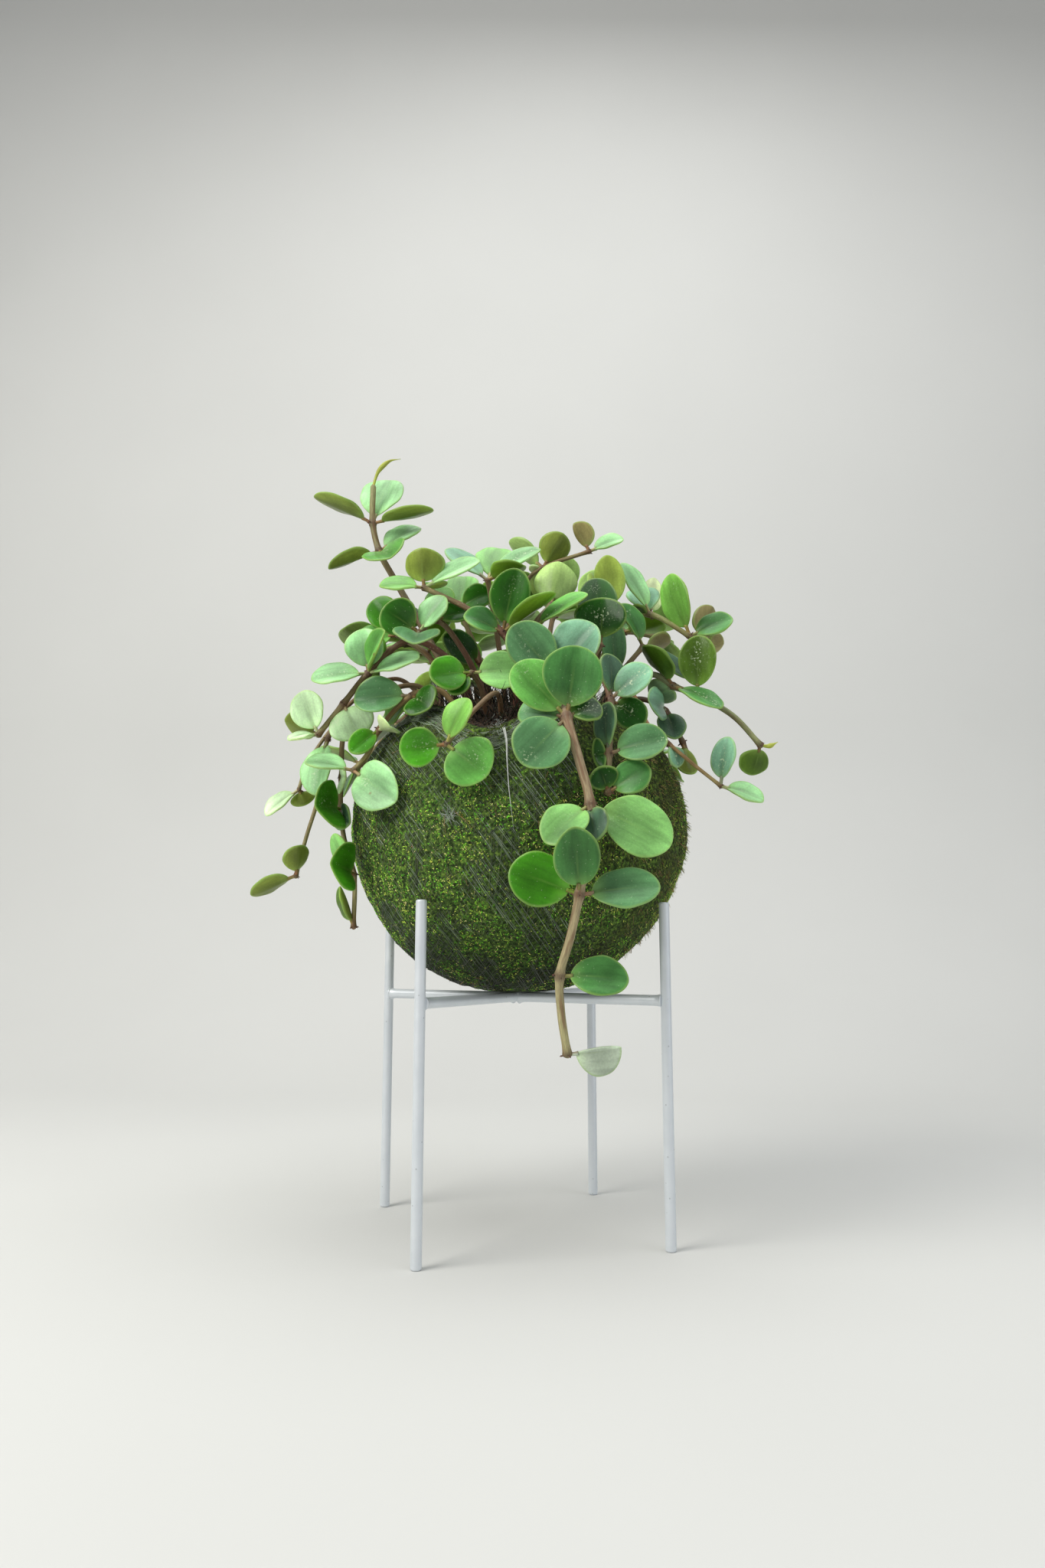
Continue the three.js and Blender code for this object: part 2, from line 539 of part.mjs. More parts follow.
// Half-width of a leaf at a share of its length, as a share of half its greatest width. It is close to an
// ellipse, a little slimmer towards both ends, and widest just past its middle.
const OUTLINE_SKEW = 1.08;
const OUTLINE_POWER = 0.55;

function leafOutline(share) {
  const along = Math.min(Math.max(share, 0), 1) ** OUTLINE_SKEW;
  return (4 * along * (1 - along)) ** OUTLINE_POWER;
}

// The share of a half of a leaf that shows: a leaf folded along its middle hides most of one half. Above 0
// the half on its positive side is folded, and below 0 the other.
function halfKept(leaf, side) {
  return side * leaf.folded > 0 ? 1 - Math.abs(leaf.folded) : 1;
}

// Height of the middle surface of a leaf over its flat plane: the edges cup and the tip droops
function leafHeight(leaf, share, side) {
  return leaf.cup * leaf.width * side * side - leaf.droop * leaf.length * share * share;
}

// A leaf that grows from a node point, with the draws for its cupping. Its flat plane is set higher than
// its tip by as much as the tip droops.
function makeLeaf(stem, at, tip, facing, width, folded = 0) {
  const reach = minus(tip, stem.points[at]);
  const whole = size(reach);
  const cup = draw(...LEAF_CUP);
  const droop = draw(...LEAF_DROOP);
  const petiole = whole * PETIOLE_SHARE;
  const length = whole - petiole;
  const along = unit(add(reach, times(squareTo(facing, unit(reach)), droop * length)));
  const face = squareTo(facing, along);
  return { stem, at, node: stem.points[at], along, face, width, folded, petiole, length, cup, droop };
}

function turned(leaf, pitch, roll, yaw) {
  const across = cross(leaf.face, leaf.along);
  const spin = (v, axis, angle) => {
    const c = Math.cos(angle);
    const s = Math.sin(angle);
    return add(add(times(v, c), times(cross(axis, v), s)), times(axis, dot(axis, v) * (1 - c)));
  };
  let along = spin(leaf.along, across, pitch);
  let face = spin(leaf.face, across, pitch);
  along = spin(along, face, yaw);
  face = spin(face, along, roll);
  return { ...leaf, along, face };
}

// Points of a leaf that stand for its surface when it is set clear of others
const SAMPLE_SHARES = [0.04, 0.22, 0.42, 0.62, 0.82];
const SAMPLE_SIDES = [-0.92, -0.45, 0, 0.45, 0.92];

function leafPoint(leaf, share, side) {
  const across = cross(leaf.face, leaf.along);
  const half = side * leafOutline(share) * halfKept(leaf, side);
  const outward = add(leaf.node, times(leaf.along, leaf.petiole + share * leaf.length));
  const sideways = add(outward, times(across, half * leaf.width / 2));
  return add(sideways, times(leaf.face, leafHeight(leaf, share, half)));
}

function withSamples(leaf) {
  const acrossAt = (share) => SAMPLE_SIDES.map((side) => leafPoint(leaf, share, side));
  const samples = SAMPLE_SHARES.flatMap(acrossAt);
  samples.push(leafPoint(leaf, 1, 0));
  const across = cross(leaf.face, leaf.along);
  return { ...leaf, samples, across, middle: leafPoint(leaf, 0.5, 0) };
}

// Which side of a leaf a list of points lies on: 0 where none lies over or under it, 1 or -1 where they all
// lie on one side and at least a clearance away, and null where they come too near or lie on both sides
function sideOf(leaf, points, clearance, margin) {
  let sideSeen = 0;
  for (const point of points) {
    const from = minus(point, leaf.node);
    const forward = dot(from, leaf.along) - leaf.petiole;
    const sideways = Math.abs(dot(from, leaf.across));
    const share = forward / leaf.length;
    const half = leafOutline(share) * leaf.width / 2;
    const inside = forward > -margin && forward < leaf.length + margin && sideways < half + margin;
    if (inside) {
      const side = Math.min(sideways / (leaf.width / 2), 1);
      const height = dot(from, leaf.face) - leafHeight(leaf, share, side);
      if (Math.abs(height) < clearance) return null;
      const sign = Math.sign(height);
      if (sideSeen !== 0 && sign !== sideSeen) return null;
      sideSeen = sign;
    }
  }
  return sideSeen;
}

const OUTLINE_MARGIN = 1.2;
const NODE_FREE = 0.25;               // share of a leaf near its node that may touch leaves of that node
const BALL_CLEARANCE = 2.2;
const ROD_CLEARANCE = 1.5;
const ROD_STEP = 3;

function clearOfBall(leaf) {
  return leaf.samples.every((point) => {
    const x = (point[0] - BALL_CENTRE[0]) / (BALL_RADIUS + BALL_CLEARANCE);
    const y = (point[1] - BALL_CENTRE[1]) / (BALL_RADIUS + BALL_CLEARANCE);
    const z = (point[2] - BALL_CENTRE[2]) / (BALL_HALF_HEIGHT + BALL_CLEARANCE);
    return x * x + y * y + z * z > 1;
  });
}

function clearOfLeaf(leaf, other) {
  const near = (leaf.length + other.length) / 2 + 12;
  if (size(minus(leaf.middle, other.middle)) > near) return true;
  const sameStem = leaf.stem === other.stem;
  const clearance = sameStem ? SIBLING_CLEARANCE : LEAF_CLEARANCE;
  const sameNode = sameStem && leaf.at === other.at;
  const skip = sameNode ? Math.ceil(SAMPLE_SHARES.length * NODE_FREE) * SAMPLE_SIDES.length : 0;
  if (sideOf(other, leaf.samples.slice(skip), clearance, OUTLINE_MARGIN) === null) return false;
  return sideOf(leaf, other.samples.slice(skip), clearance, OUTLINE_MARGIN) !== null;
}

function clearOfRod(leaf, rod) {
  const own = rod.owner === leaf.stem;
  const free = rod.radius + leaf.petiole + leaf.length * NODE_FREE;
  const points = own ? rod.samples.filter((point) => size(minus(point, leaf.node)) > free) : rod.samples;
  const clearance = rod.radius + ROD_CLEARANCE;
  return sideOf(leaf, points, clearance, rod.radius) !== null;
}

function makeRod(points, radius, owner) {
  const samples = [];
  for (let index = 0; index + 1 < points.length; index += 1) {
    const span = minus(points[index + 1], points[index]);
    const steps = Math.ceil(size(span) / ROD_STEP);
    for (let step = 0; step < steps; step += 1) {
      samples.push(add(points[index], times(span, step / steps)));
    }
  }
  samples.push(points[points.length - 1]);
  return { samples, radius, owner };
}

// Small turns of a leaf about its node, the least first
const PITCHES = [0, 8, -8, 16, -16, 24, -24, 32, -32, 42, -42];
const ROLLS = [0, 12, -12, 24, -24, 38, -38, 52, -52];
const YAWS = [0, 10, -10, 20, -20, 32, -32];
const TURNS = PITCHES.flatMap((pitch) => ROLLS.flatMap((roll) => YAWS.map((yaw) => [pitch, roll, yaw])))
  .map((turn) => [...turn, Math.abs(turn[0]) + 0.8 * Math.abs(turn[1]) + 1.2 * Math.abs(turn[2])])
  .sort((a, b) => a[3] - b[3]);

// The leaf as given if it is clear of all that stands already, or else after the least turn that clears it
function settled(leaf, leaves, rods) {
  for (const [pitch, roll, yaw] of TURNS) {
    const trial = withSamples(turned(leaf, radians(pitch), radians(roll), radians(yaw)));
    const clear = clearOfBall(trial)
      && leaves.every((other) => clearOfLeaf(trial, other))
      && rods.every((rod) => clearOfRod(trial, rod));
    if (clear) return trial;
  }
  return null;
}

function seenStem(entry) {
  return {
    name: entry.name,
    radius: entry.radius,
    points: [...entry.crown, ...entry.route.map(sighted)],
    shoot: (entry.shoot ?? []).map(sighted),
  };
}

// A stem that rises from the soil, bows outwards and ends at its tip, with a little sway. It is a parabola
// that reaches half of the way from the middle of its ends to the height given for its bow.
function backStem([round, foot, reach, top, end], index) {
  const turn = radians(round);
  const sway = draw(-BACK_SWAY, BACK_SWAY);
  const bowHeight = (top - Math.max(BACK_FOOT_HEIGHT, (BACK_FOOT_HEIGHT + end) / 2)) / 2;
  const points = Array.from({ length: BACK_POINTS }, (_, step) => {
    const share = step / (BACK_POINTS - 1);
    const out = foot + (reach - foot) * share * share;
    const bow = bowHeight * 4 * share * (1 - share);
    const height = BACK_FOOT_HEIGHT + (end - BACK_FOOT_HEIGHT) * share + bow;
    const side = sway * share;
    return [
      out * Math.cos(turn) - side * Math.sin(turn),
      out * Math.sin(turn) + side * Math.cos(turn),
      height,
    ];
  });
  return { name: `back_stem_${index + 1}`, radius: BACK_RADIUS, points, shoot: [] };
}

// Leaves in whorls round a back stem, leaning towards its tip, with their faces up and outwards
const BACK_LEAN = [0.25, 0.75];       // how far a leaf leans towards the tip of its stem
const BACK_REACH = [24, 31];          // from the stem to the tip of the leaf
const BACK_WIDTH = [16, 22];
const BACK_FACE_OUT = [0.3, 0.9];     // how far its face looks outwards as well as up

function backLeaves(stem) {
  const leaves = [];
  for (const [at, leafCount] of BACK_WHORLS) {
    const here = stem.points[at];
    const along = unit(minus(here, stem.points[at - 1]));
    const side = squareTo(cross(along, [0, 0, 1]), along);
    const up = cross(side, along);
    const start = draw(0, 2 * Math.PI / leafCount);
    for (let count = 0; count < leafCount; count += 1) {
      const round = start + 2 * Math.PI * count / leafCount;
      const spread = add(times(side, Math.cos(round)), times(up, Math.sin(round)));
      const lean = draw(...BACK_LEAN);
      const reach = draw(...BACK_REACH);
      const width = draw(...BACK_WIDTH);
      const direction = unit(add(spread, times(along, lean)));
      const outward = unit([here[0], here[1], 0]);
      const facing = add(times(outward, draw(...BACK_FACE_OUT)), [0, 0, 1]);
      leaves.push(makeLeaf(stem, at, add(here, times(direction, reach)), facing, width));
    }
  }
  return leaves;
}

// The solid of a leaf with its petiole: a blade that is thick in the middle and thin at its rim, split into
// triangles alike on both faces, on a four-sided stalk
const RIM_SHARES = [0.12, 0.5, 0.88];
const RIB_SHARES = [0.3, 0.72];

function leafSolid(leaf) {
  const rim = RIM_SHARES.map((share) => [leafPoint(leaf, share, 1), leafPoint(leaf, share, -1)]);
  const lift = times(leaf.face, LEAF_THICKNESS / 2);
  const rib = RIB_SHARES.map((share) => {
    const middle = leafPoint(leaf, share, 0);
    return [add(middle, lift), minus(middle, lift)];
  });
  const across = cross(leaf.face, leaf.along);
  const stalkEnd = add(leaf.node, times(leaf.along, leaf.petiole));
  const ringAt = (centre) => [leaf.face, across, times(leaf.face, -1), times(across, -1)]
    .map((outward) => add(centre, times(outward, PETIOLE_RADIUS)));
  const stalk = [...ringAt(leaf.node), ...ringAt(stalkEnd)];
  const points = [...stalk, ...rib.flat(), ...rim.flat(), leafPoint(leaf, 1, 0)];
  const faces = [[0, 1, 2], [0, 2, 3]];
  const tip = points.length - 1;
  for (const under of [0, 1]) {
    for (const left of [0, 1]) {
      const flip = under !== left;
      const put = (a, b, c) => faces.push(flip ? [a, c, b] : [a, b, c]);
      const stalkTop = under ? 2 : 0;
      const stalkSide = left ? 3 : 1;
      const ribPoint = (index) => 8 + 2 * index + under;
      const rimPoint = (index) => 12 + 2 * index + left;
      put(stalkTop, 4 + stalkTop, 4 + stalkSide);
      put(stalkTop, 4 + stalkSide, stalkSide);
      put(4 + stalkTop, ribPoint(0), rimPoint(0));
      put(4 + stalkTop, rimPoint(0), 4 + stalkSide);
      put(ribPoint(0), ribPoint(1), rimPoint(1));
      put(ribPoint(0), rimPoint(1), rimPoint(0));
      put(ribPoint(1), tip, rimPoint(2));
      put(ribPoint(1), rimPoint(2), rimPoint(1));
    }
  }
  return solidFrom(points, faces);
}

// The solid of a stem on a smooth curve through its points, a little longer than its last node
const STEM_SIDES = 5;
const STEM_STEP = 14;
const STEM_TIP = 1.5;
const HOLE_DEPTH = 3 * GAP;
const SHOOT_RADIUS = 0.7;
const SHOOT_SIDES = 4;
const HOLE_LENGTH = 20;
const HOLE_SIDES = 4;
const HOLE_WIDENING = 1.9;            // clears the corners of the stem inside the flat sides of the hole

function stemCurve(stem) {
  return new THREE.CatmullRomCurve3(stem.points.map((point) => new THREE.Vector3(...point)));
}

function stemSolid(stem) {
  const curve = stemCurve(stem);
  const steps = Math.ceil(curve.getLength() / STEM_STEP);
  const points = curve.getSpacedPoints(steps).map((point) => point.toArray());
  const along = unit(minus(points[steps], points[steps - 1]));
  points.push(add(points[steps], times(along, STEM_TIP)));
  const radii = points.map((_, index) => stem.radius * (1.05 - 0.25 * index / points.length));
  return bar(points, radii, STEM_SIDES);
}

// The solids of a stem's young end: none, or a thin bar from its last node
function shootSolids(stem) {
  if (stem.shoot.length === 0) return [];
  const points = [stem.points[stem.points.length - 1], ...stem.shoot];
  return [bar(points, points.map(() => SHOOT_RADIUS), SHOOT_SIDES)];
}

function stemHole(stem) {
  const curve = stemCurve(stem);
  const foot = stem.points[0];
  const above = curve.getPointAt(Math.min(HOLE_LENGTH / curve.getLength(), 1)).toArray();
  const bottom = minus(foot, times(unit(minus(above, foot)), HOLE_DEPTH));
  const radius = stem.radius * HOLE_WIDENING + GAP;
  return bar([bottom, above], [radius, radius], HOLE_SIDES);
}

// The whole plant: every stem with its leaves set clear of each other
function growPlant() {
  const seen = SEEN_STEMS.map(seenStem);
  const back = BACK_STEMS.map(backStem);
  const stems = [...seen, ...back];
  const rods = stems.map((stem) => makeRod(stem.points.slice(1), stem.radius, stem));
  for (const foot of legFeet) {
    rods.push(makeRod([foot, add(foot, [0, 0, LEG_HEIGHT])], ROD_DIAMETER / 2, null));
  }
  const wanted = seen.flatMap((stem, index) => SEEN_STEMS[index].leaves
    .map(([at, tip, facing, width, folded]) => makeLeaf(stem, at, sighted(tip), facing, width, folded)));
  wanted.push(...back.flatMap(backLeaves));
  const leaves = [];
  for (const leaf of wanted) {
    const place = settled(leaf, leaves, rods);
    if (place) leaves.push(place);
  }
  return { stems, leaves };
}

// Materials

const paintedSteel = new THREE.MeshStandardMaterial({ color: 0xc9d0d6, roughness: 0.4, metalness: 0.3 });
const mossGreen = new THREE.MeshStandardMaterial({ color: 0x4f6a2a, roughness: 1, metalness: 0 });
const soilBrown = new THREE.MeshStandardMaterial({ color: 0x2e2118, roughness: 1, metalness: 0 });
const leafGreen = new THREE.MeshStandardMaterial({ color: 0x5f9a4c, roughness: 0.45, metalness: 0 });

// Assembly

const { stems, leaves } = growPlant();
addStand(paintedSteel);
addNode('moss_shell', mossShell(), mossGreen);
addNode('soil_core', soilCore(stems.map(stemHole)), soilBrown);
for (const stem of stems) {
  const ownLeaves = leaves.filter((leaf) => leaf.stem === stem);
  const pieces = [stemSolid(stem), ...shootSolids(stem), ...ownLeaves.map(leafSolid)];
  addNode(stem.name, joined(pieces), leafGreen);
}

group.updateMatrixWorld(true);
const middle = new THREE.Box3().setFromObject(group).getCenter(new THREE.Vector3());
group.position.set(-middle.x, -middle.y, 0);

export default group;
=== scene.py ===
# The looks of a kokedama: a ball of moss wound with thread, on a small stand of painted rods, with a trailing
# house plant of fleshy oval leaves that grows out of its open top. Every shape is worked out in millimetres
# from the stand's upright axis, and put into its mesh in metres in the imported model's frame.

import functools

import bpy
import numpy as np
from mathutils import Euler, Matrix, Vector


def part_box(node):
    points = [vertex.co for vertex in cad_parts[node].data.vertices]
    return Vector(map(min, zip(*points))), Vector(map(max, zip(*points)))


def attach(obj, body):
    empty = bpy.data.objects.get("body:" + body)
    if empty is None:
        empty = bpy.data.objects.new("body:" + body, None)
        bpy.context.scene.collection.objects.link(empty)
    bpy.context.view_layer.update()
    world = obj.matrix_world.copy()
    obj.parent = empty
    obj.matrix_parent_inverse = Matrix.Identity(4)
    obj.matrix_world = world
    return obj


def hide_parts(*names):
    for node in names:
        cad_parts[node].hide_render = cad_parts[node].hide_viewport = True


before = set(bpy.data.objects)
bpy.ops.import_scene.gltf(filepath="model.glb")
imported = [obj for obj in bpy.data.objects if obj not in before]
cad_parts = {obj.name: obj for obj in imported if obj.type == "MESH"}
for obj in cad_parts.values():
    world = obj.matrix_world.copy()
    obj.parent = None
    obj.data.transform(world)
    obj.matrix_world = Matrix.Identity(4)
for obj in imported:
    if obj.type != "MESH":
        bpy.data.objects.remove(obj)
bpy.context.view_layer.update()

# The stand and the ball, as in the part

GAP = 0.3                             # clearance between touching pieces
ROD_DIAMETER = 5
LEG_CIRCLE = 82
LEG_TURN = -27.6                      # degrees from +X to the first leg
LEG_HEIGHT = 157
BAR_HEIGHT = 111.2
LEG_NAMES = ["leg_right", "leg_back", "leg_left", "leg_front"]

BALL_CENTRE = np.array([1.4, 0, 194.9])
BALL_RADIUS = 86.4                    # sideways
BALL_HALF_HEIGHT = 82.7
MOSS_THICKNESS = 8
MOUTH_ANGLE = 44                      # degrees down from the top to the edge of the open mouth
MOUTH_DIP = 13                        # degrees that the moss has slipped lower at the front
MOUTH_DIP_AT = -97                    # degrees round from +X
MOUTH_DIP_WIDTH = 17
LIP_OUTSIDE = 3                       # degrees past the mouth at the outer edge of the lip
LIP_INSIDE = 1.6
SOIL_TOP = 262
SEAT_HEIGHT = BAR_HEIGHT + ROD_DIAMETER / 2 + GAP

# The point from which the leaves' places are sighted. A sighted point is written as the place y of an upright
# pane, the x and z where the line of sight meets that pane, and the depth y of the point itself.

VIEWPOINT = np.array([36.5, -543.2, 134.8])

# The camera, which stands at that point: its turn in degrees, and its lens and sensor in millimetres

CAMERA_PLACE = [36.45, -543.2, 134.757]
CAMERA_TURN = [98.962, 0, 3.522]
CAMERA_LENS = 24.13
CAMERA_SENSOR = 36
CAMERA_REACH = (0.02, 20)             # metres between which it sees things

# Stems that show from the front, as in the part. Each has its radius, true points [x, y, z] from its foot in
# the soil to where it leaves the crown, and then sighted points [pane, x, z, depth]. A leaf is written as the
# number of the point that it grows from, its sighted tip, the way its upper face looks, its width, and for a
# folded leaf how much of one half is out of sight. A shoot is the thin young end of a stem that has no leaves
# yet.

SEEN_STEMS = [
  {"name": "front_trailer", "radius": 2.2,
   "crown": [[18, -44, 248], [21, -58, 260]],
   "route": [[-85, 26, 246, -80], [-85, 28, 237, -88], [-85, 33.5, 217, -91], [-85, 38, 198, -91],
             [-92, 37, 180, -92], [-92, 33, 158, -91], [-92, 29, 140, -89], [-92, 24.5, 124, -86],
             [-92, 25, 108, -83], [-92, 27.5, 91.5, -82]],
   "leaves": [
     [3, [-85, 33, 270, -92], [0.05, -1, 0.2], 27],
     [3, [-85, 5, 262, -88], [-0.15, -1, 0.35], 22],
     [3, [-85, 8, 216, -96], [-0.1, -1, 0.05], 26],
     [3, [-85, 6.5, 240, -82], [-0.1, -0.9, 0.4], 18],
     [3, [-85, 43, 243, -84], [0.1, -0.8, 0.5], 18],
     [5, [-92, 72.5, 179, -90], [0.15, -1, 0.2], 26],
     [5, [-92, 46, 180, -90], [-0.5, -0.8, 0.1], 16],
     [5, [-92, 21, 174, -92], [-0.3, -0.9, 0.2], 20],
     [7, [-92, 30, 191, -97], [0.05, -1, 0.1], 20],
     [7, [-92, 3, 169, -93], [-0.05, -1, 0.15], 24],
     [7, [-92, 67.5, 161.5, -92], [0.1, -0.85, 0.45], 20],
     [9, [-92, 53.5, 122, -86], [0, -0.85, 0.45], 19],
     [11, [-92, 50, 94.5, -82], [0.05, -0.95, -0.3], 22, 0.85]]},
  {"name": "right_front_trailer", "radius": 1.7,
   "crown": [[34, -37, 250], [42, -54, 264]],
   "route": [[-85, 47.5, 245, -72], [-85, 46.5, 220.5, -78], [-85, 46, 203, -81]],
   "leaves": [
     [2, [-85, 66, 259, -78], [-0.1, -0.9, 0.4], 17],
     [2, [-85, 47, 266, -70], [0.6, -0.8, 0.1], 15],
     [2, [-85, 60, 231, -74], [0.1, -1, 0.1], 16],
     [3, [-85, 41.5, 243.5, -84], [-0.75, -0.65, 0], 15],
     [3, [-85, 72.5, 226.5, -84], [0, -0.95, 0.35], 19],
     [3, [-85, 40, 217, -78], [0.1, -0.95, 0.1], 15],
     [4, [-85, 64.5, 214, -84], [0.1, -0.9, 0.4], 17],
     [4, [-85, 40, 213.5, -80], [0.3, -0.9, 0.1], 14]]},
  {"name": "right_low_twig", "radius": 1.1,
   "crown": [[48, -20, 249], [58, -30, 262]],
   "route": [[-30, 68, 244, -38], [-30, 77, 235.5, -40], [-30, 90, 224, -40], [-30, 102, 214, -40]],
   "leaves": [
     [3, [-30, 84, 225, -42], [0.5, -0.6, 0.5], 13],
     [5, [-30, 106.5, 238.5, -42], [-0.5, -0.8, 0.1], 13],
     [5, [-30, 122.5, 206, -44], [0.2, -0.75, 0.65], 13]]},
  {"name": "right_reaching_stem", "radius": 1.7,
   "crown": [[40, -8, 250], [52, -15, 272]],
   "route": [[-20, 72, 273, -22], [-20, 81, 267, -26], [-20, 93, 262, -28], [-30, 109, 249, -30],
             [-30, 122, 234, -30]],
   "shoot": [[-30, 126, 233.5, -30], [-30, 130.5, 235.5, -31]],
   "leaves": [
     [3, [-20, 61.5, 286.5, -32], [0.5, 0.3, 0.8], 17],
     [3, [-30, 67, 261, -8], [0.2, 0.6, 0.6], 16],
     [3, [-30, 102, 248.5, -42], [0.3, -0.7, 0.7], 17],
     [4, [-20, 94.5, 293.5, -32], [-0.2, -0.95, 0.1], 19],
     [6, [-30, 117, 219, -22], [-0.3, 0.75, 0.5], 17],
     [1, [-20, 53, 300.5, -40], [0.25, -0.95, 0.1], 14]]},
  {"name": "right_arching_stem", "radius": 1.6,
   "crown": [[34, 6, 251], [44, 2, 285]],
   "route": [[-20, 58, 303, -5], [-20, 70, 305, -10], [-20, 90, 293, -15], [-20, 98, 288, -12]],
   "leaves": [
     [3, [-20, 55.5, 333, -14], [0.55, -0.75, 0.35], 15],
     [3, [-20, 64, 318.5, 2], [0, -0.8, 0.6], 18],
     [3, [-20, 60, 307, -8], [0, -0.35, 0.95], 14],
     [4, [-20, 80.5, 326.5, -20], [-0.75, -0.65, 0.2], 19],
     [4, [-20, 112, 302, -20], [-0.2, -0.85, 0.5], 16],
     [5, [-20, 102, 308.5, 2], [-0.2, 0.7, 0.55], 19],
     [5, [-20, 107, 289, -4], [-0.2, 0.7, 0.5], 12],
     [3, [-20, 72, 328.5, 6], [0.1, 0.9, 0.3], 13]]},
  {"name": "right_inner_stem", "radius": 1.6,
   "crown": [[42, -18, 250], [52, -22, 270]],
   "route": [[-20, 66, 288, -20]],
   "leaves": [
     [2, [-20, 54.5, 311, -26], [0.6, -0.7, 0.35], 16],
     [2, [-20, 88.5, 271, -24], [0.25, -0.75, 0.6], 18],
     [2, [-20, 80, 290, -6], [0.2, 0.7, 0.6], 13]]},
  {"name": "right_upright_stem", "radius": 1.5,
   "crown": [[36, -20, 250], [42, -22, 280]],
   "route": [[-20, 51, 307, -22]],
   "leaves": [
     [2, [-20, 48, 337.5, -28], [0.1, 0.95, 0.3], 16],
     [2, [-45, 42.5, 321, -14], [-0.8, 0.55, 0.2], 12]]},
  {"name": "centre_right_stem", "radius": 1.6,
   "crown": [[30, -32, 249], [35, -37, 268]],
   "route": [[-45, 44, 282, -44]],
   "leaves": [
     [2, [-45, 46, 306, -48], [-0.1, -0.8, 0.55], 26],
     [2, [-45, 42, 316, -34], [0, -0.9, 0.4], 20]]},
  {"name": "centre_front_stem", "radius": 1.7,
   "crown": [[24, -34, 248], [24, -46, 262]],
   "route": [[-45, 22, 266, -56]],
   "leaves": [
     [2, [-45, 42, 292, -66], [0, -0.85, 0.5], 28],
     [2, [-45, 0.5, 292.5, -62], [-0.05, -1, 0.15], 23]]},
  {"name": "centre_back_stem", "radius": 1.6,
   "crown": [[6, -30, 249], [9, -38, 272]],
   "route": [[-45, 11, 291, -46], [-45, 20, 303, -38]],
   "leaves": [
     [2, [-45, 38, 308, -50], [-0.4, -0.65, 0.65], 16],
     [3, [-45, 24, 325, -34], [0.05, 0.9, 0.4], 22]]},
  {"name": "top_right_stem", "radius": 1.3,
   "crown": [[4, 0, 251], [2, 4, 285]],
   "route": [[-45, 8, 315, 0], [-45, 16, 322, -4], [-45, 39, 330, -8]],
   "leaves": [
     [3, [-45, 26, 339.5, -14], [0.1, 0.75, 0.6], 17],
     [3, [-45, -1, 336, 2], [0.3, 0.5, 0.8], 14],
     [3, [-45, 10, 324, 0], [0.2, -0.3, 0.9], 8],
     [4, [-45, 31.5, 345, -10], [0.3, 0.9, 0.1], 15, -0.6],
     [4, [-45, 56, 336, -10], [-0.1, -0.85, 0.6], 12]]},
  {"name": "top_left_stem", "radius": 1.5,
   "crown": [[-4, -14, 252], [-8, -22, 290]],
   "route": [[-45, -11.5, 316, -32]],
   "leaves": [
     [2, [-45, -32.5, 333, -28], [0.35, -0.8, 0.55], 14],
     [2, [-45, -5.5, 336.5, -14], [0.1, -0.75, 0.65], 20],
     [2, [-45, 14.5, 332, -24], [-0.3, -0.85, 0.55], 14],
     [2, [-45, 6, 326.5, -44], [-0.3, 0.25, 0.9], 17]]},
  {"name": "left_long_stem", "radius": 1.6,
   "crown": [[2, -38, 248], [2, -44, 272]],
   "route": [[-45, -4, 289, -45], [-45, -22, 302, -45], [-45, -43.5, 313, -45]],
   "leaves": [
     [2, [-45, 3, 322, -52], [0.05, -1, 0.15], 20],
     [2, [-45, -23.5, 298, -54], [-0.2, -0.85, 0.5], 17],
     [4, [-45, -66, 314.5, -48], [0.1, -0.68, 0.68], 15],
     [4, [-45, -45, 334, -50], [0.15, 0.9, 0.4], 21],
     [4, [-45, -15.5, 326.5, -46], [-0.35, -0.8, 0.55], 15],
     [4, [-45, -33, 314, -34], [-0.1, -0.4, 0.9], 12],
     [2, [-45, 22, 309, -56], [-0.45, 0.1, 0.9], 17]]},
  {"name": "tall_stem", "radius": 1.9,
   "crown": [[-14, -22, 250]],
   "route": [[-20, -34, 276, -24], [-20, -50, 304, -22], [-20, -63.5, 327.5, -21],
             [-20, -71.5, 342.5, -20], [-20, -75.3, 358, -20], [-20, -75.5, 378.5, -20]],
   "shoot": [[-20, -74.5, 383, -20], [-20, -72.5, 388, -20], [-20, -67, 393, -20], [-20, -61, 394, -20]],
   "leaves": [
     [4, [-20, -50, 355, -12], [-0.3, -0.85, 0.55], 17],
     [4, [-20, -65.5, 338.5, -42], [-0.4, -0.35, 0.85], 24],
     [4, [-20, -98.5, 333.5, -24], [-0.3, 0.05, 0.95], 15],
     [5, [-20, -107.5, 374, -26], [0.3, 0.12, 0.93], 18],
     [5, [-20, -43, 365, -26], [-0.2, 0, 0.96], 16],
     [5, [-20, -66.5, 382, -4], [0, -0.7, 0.72], 24]]},
  {"name": "left_arching_stem", "radius": 1.7,
   "crown": [[-18, -34, 249], [-28, -40, 274]],
   "route": [[-45, -50, 286, -45], [-45, -70.5, 269.5, -45], [-30, -86, 258, -46],
             [-30, -98.5, 242, -46]],
   "leaves": [
     [3, [-45, -73, 292.5, -50], [-0.1, -0.95, 0.3], 20],
     [3, [-45, -64.5, 296, -58], [-0.85, -0.5, 0.1], 16],
     [3, [-45, -64, 289, -42], [0.2, -0.9, 0.3], 14],
     [3, [-45, -43.5, 279.5, -56], [-0.35, -0.6, 0.7], 18],
     [3, [-30, -103, 270.5, -54], [-0.05, -0.7, 0.7], 20],
     [4, [-30, -77, 240, -44], [0, -1, -0.3], 24],
     [5, [-30, -107, 265, -50], [-0.3, -0.85, 0.35], 18],
     [5, [-30, -116, 250, -38], [0.3, 0.8, 0.45], 15],
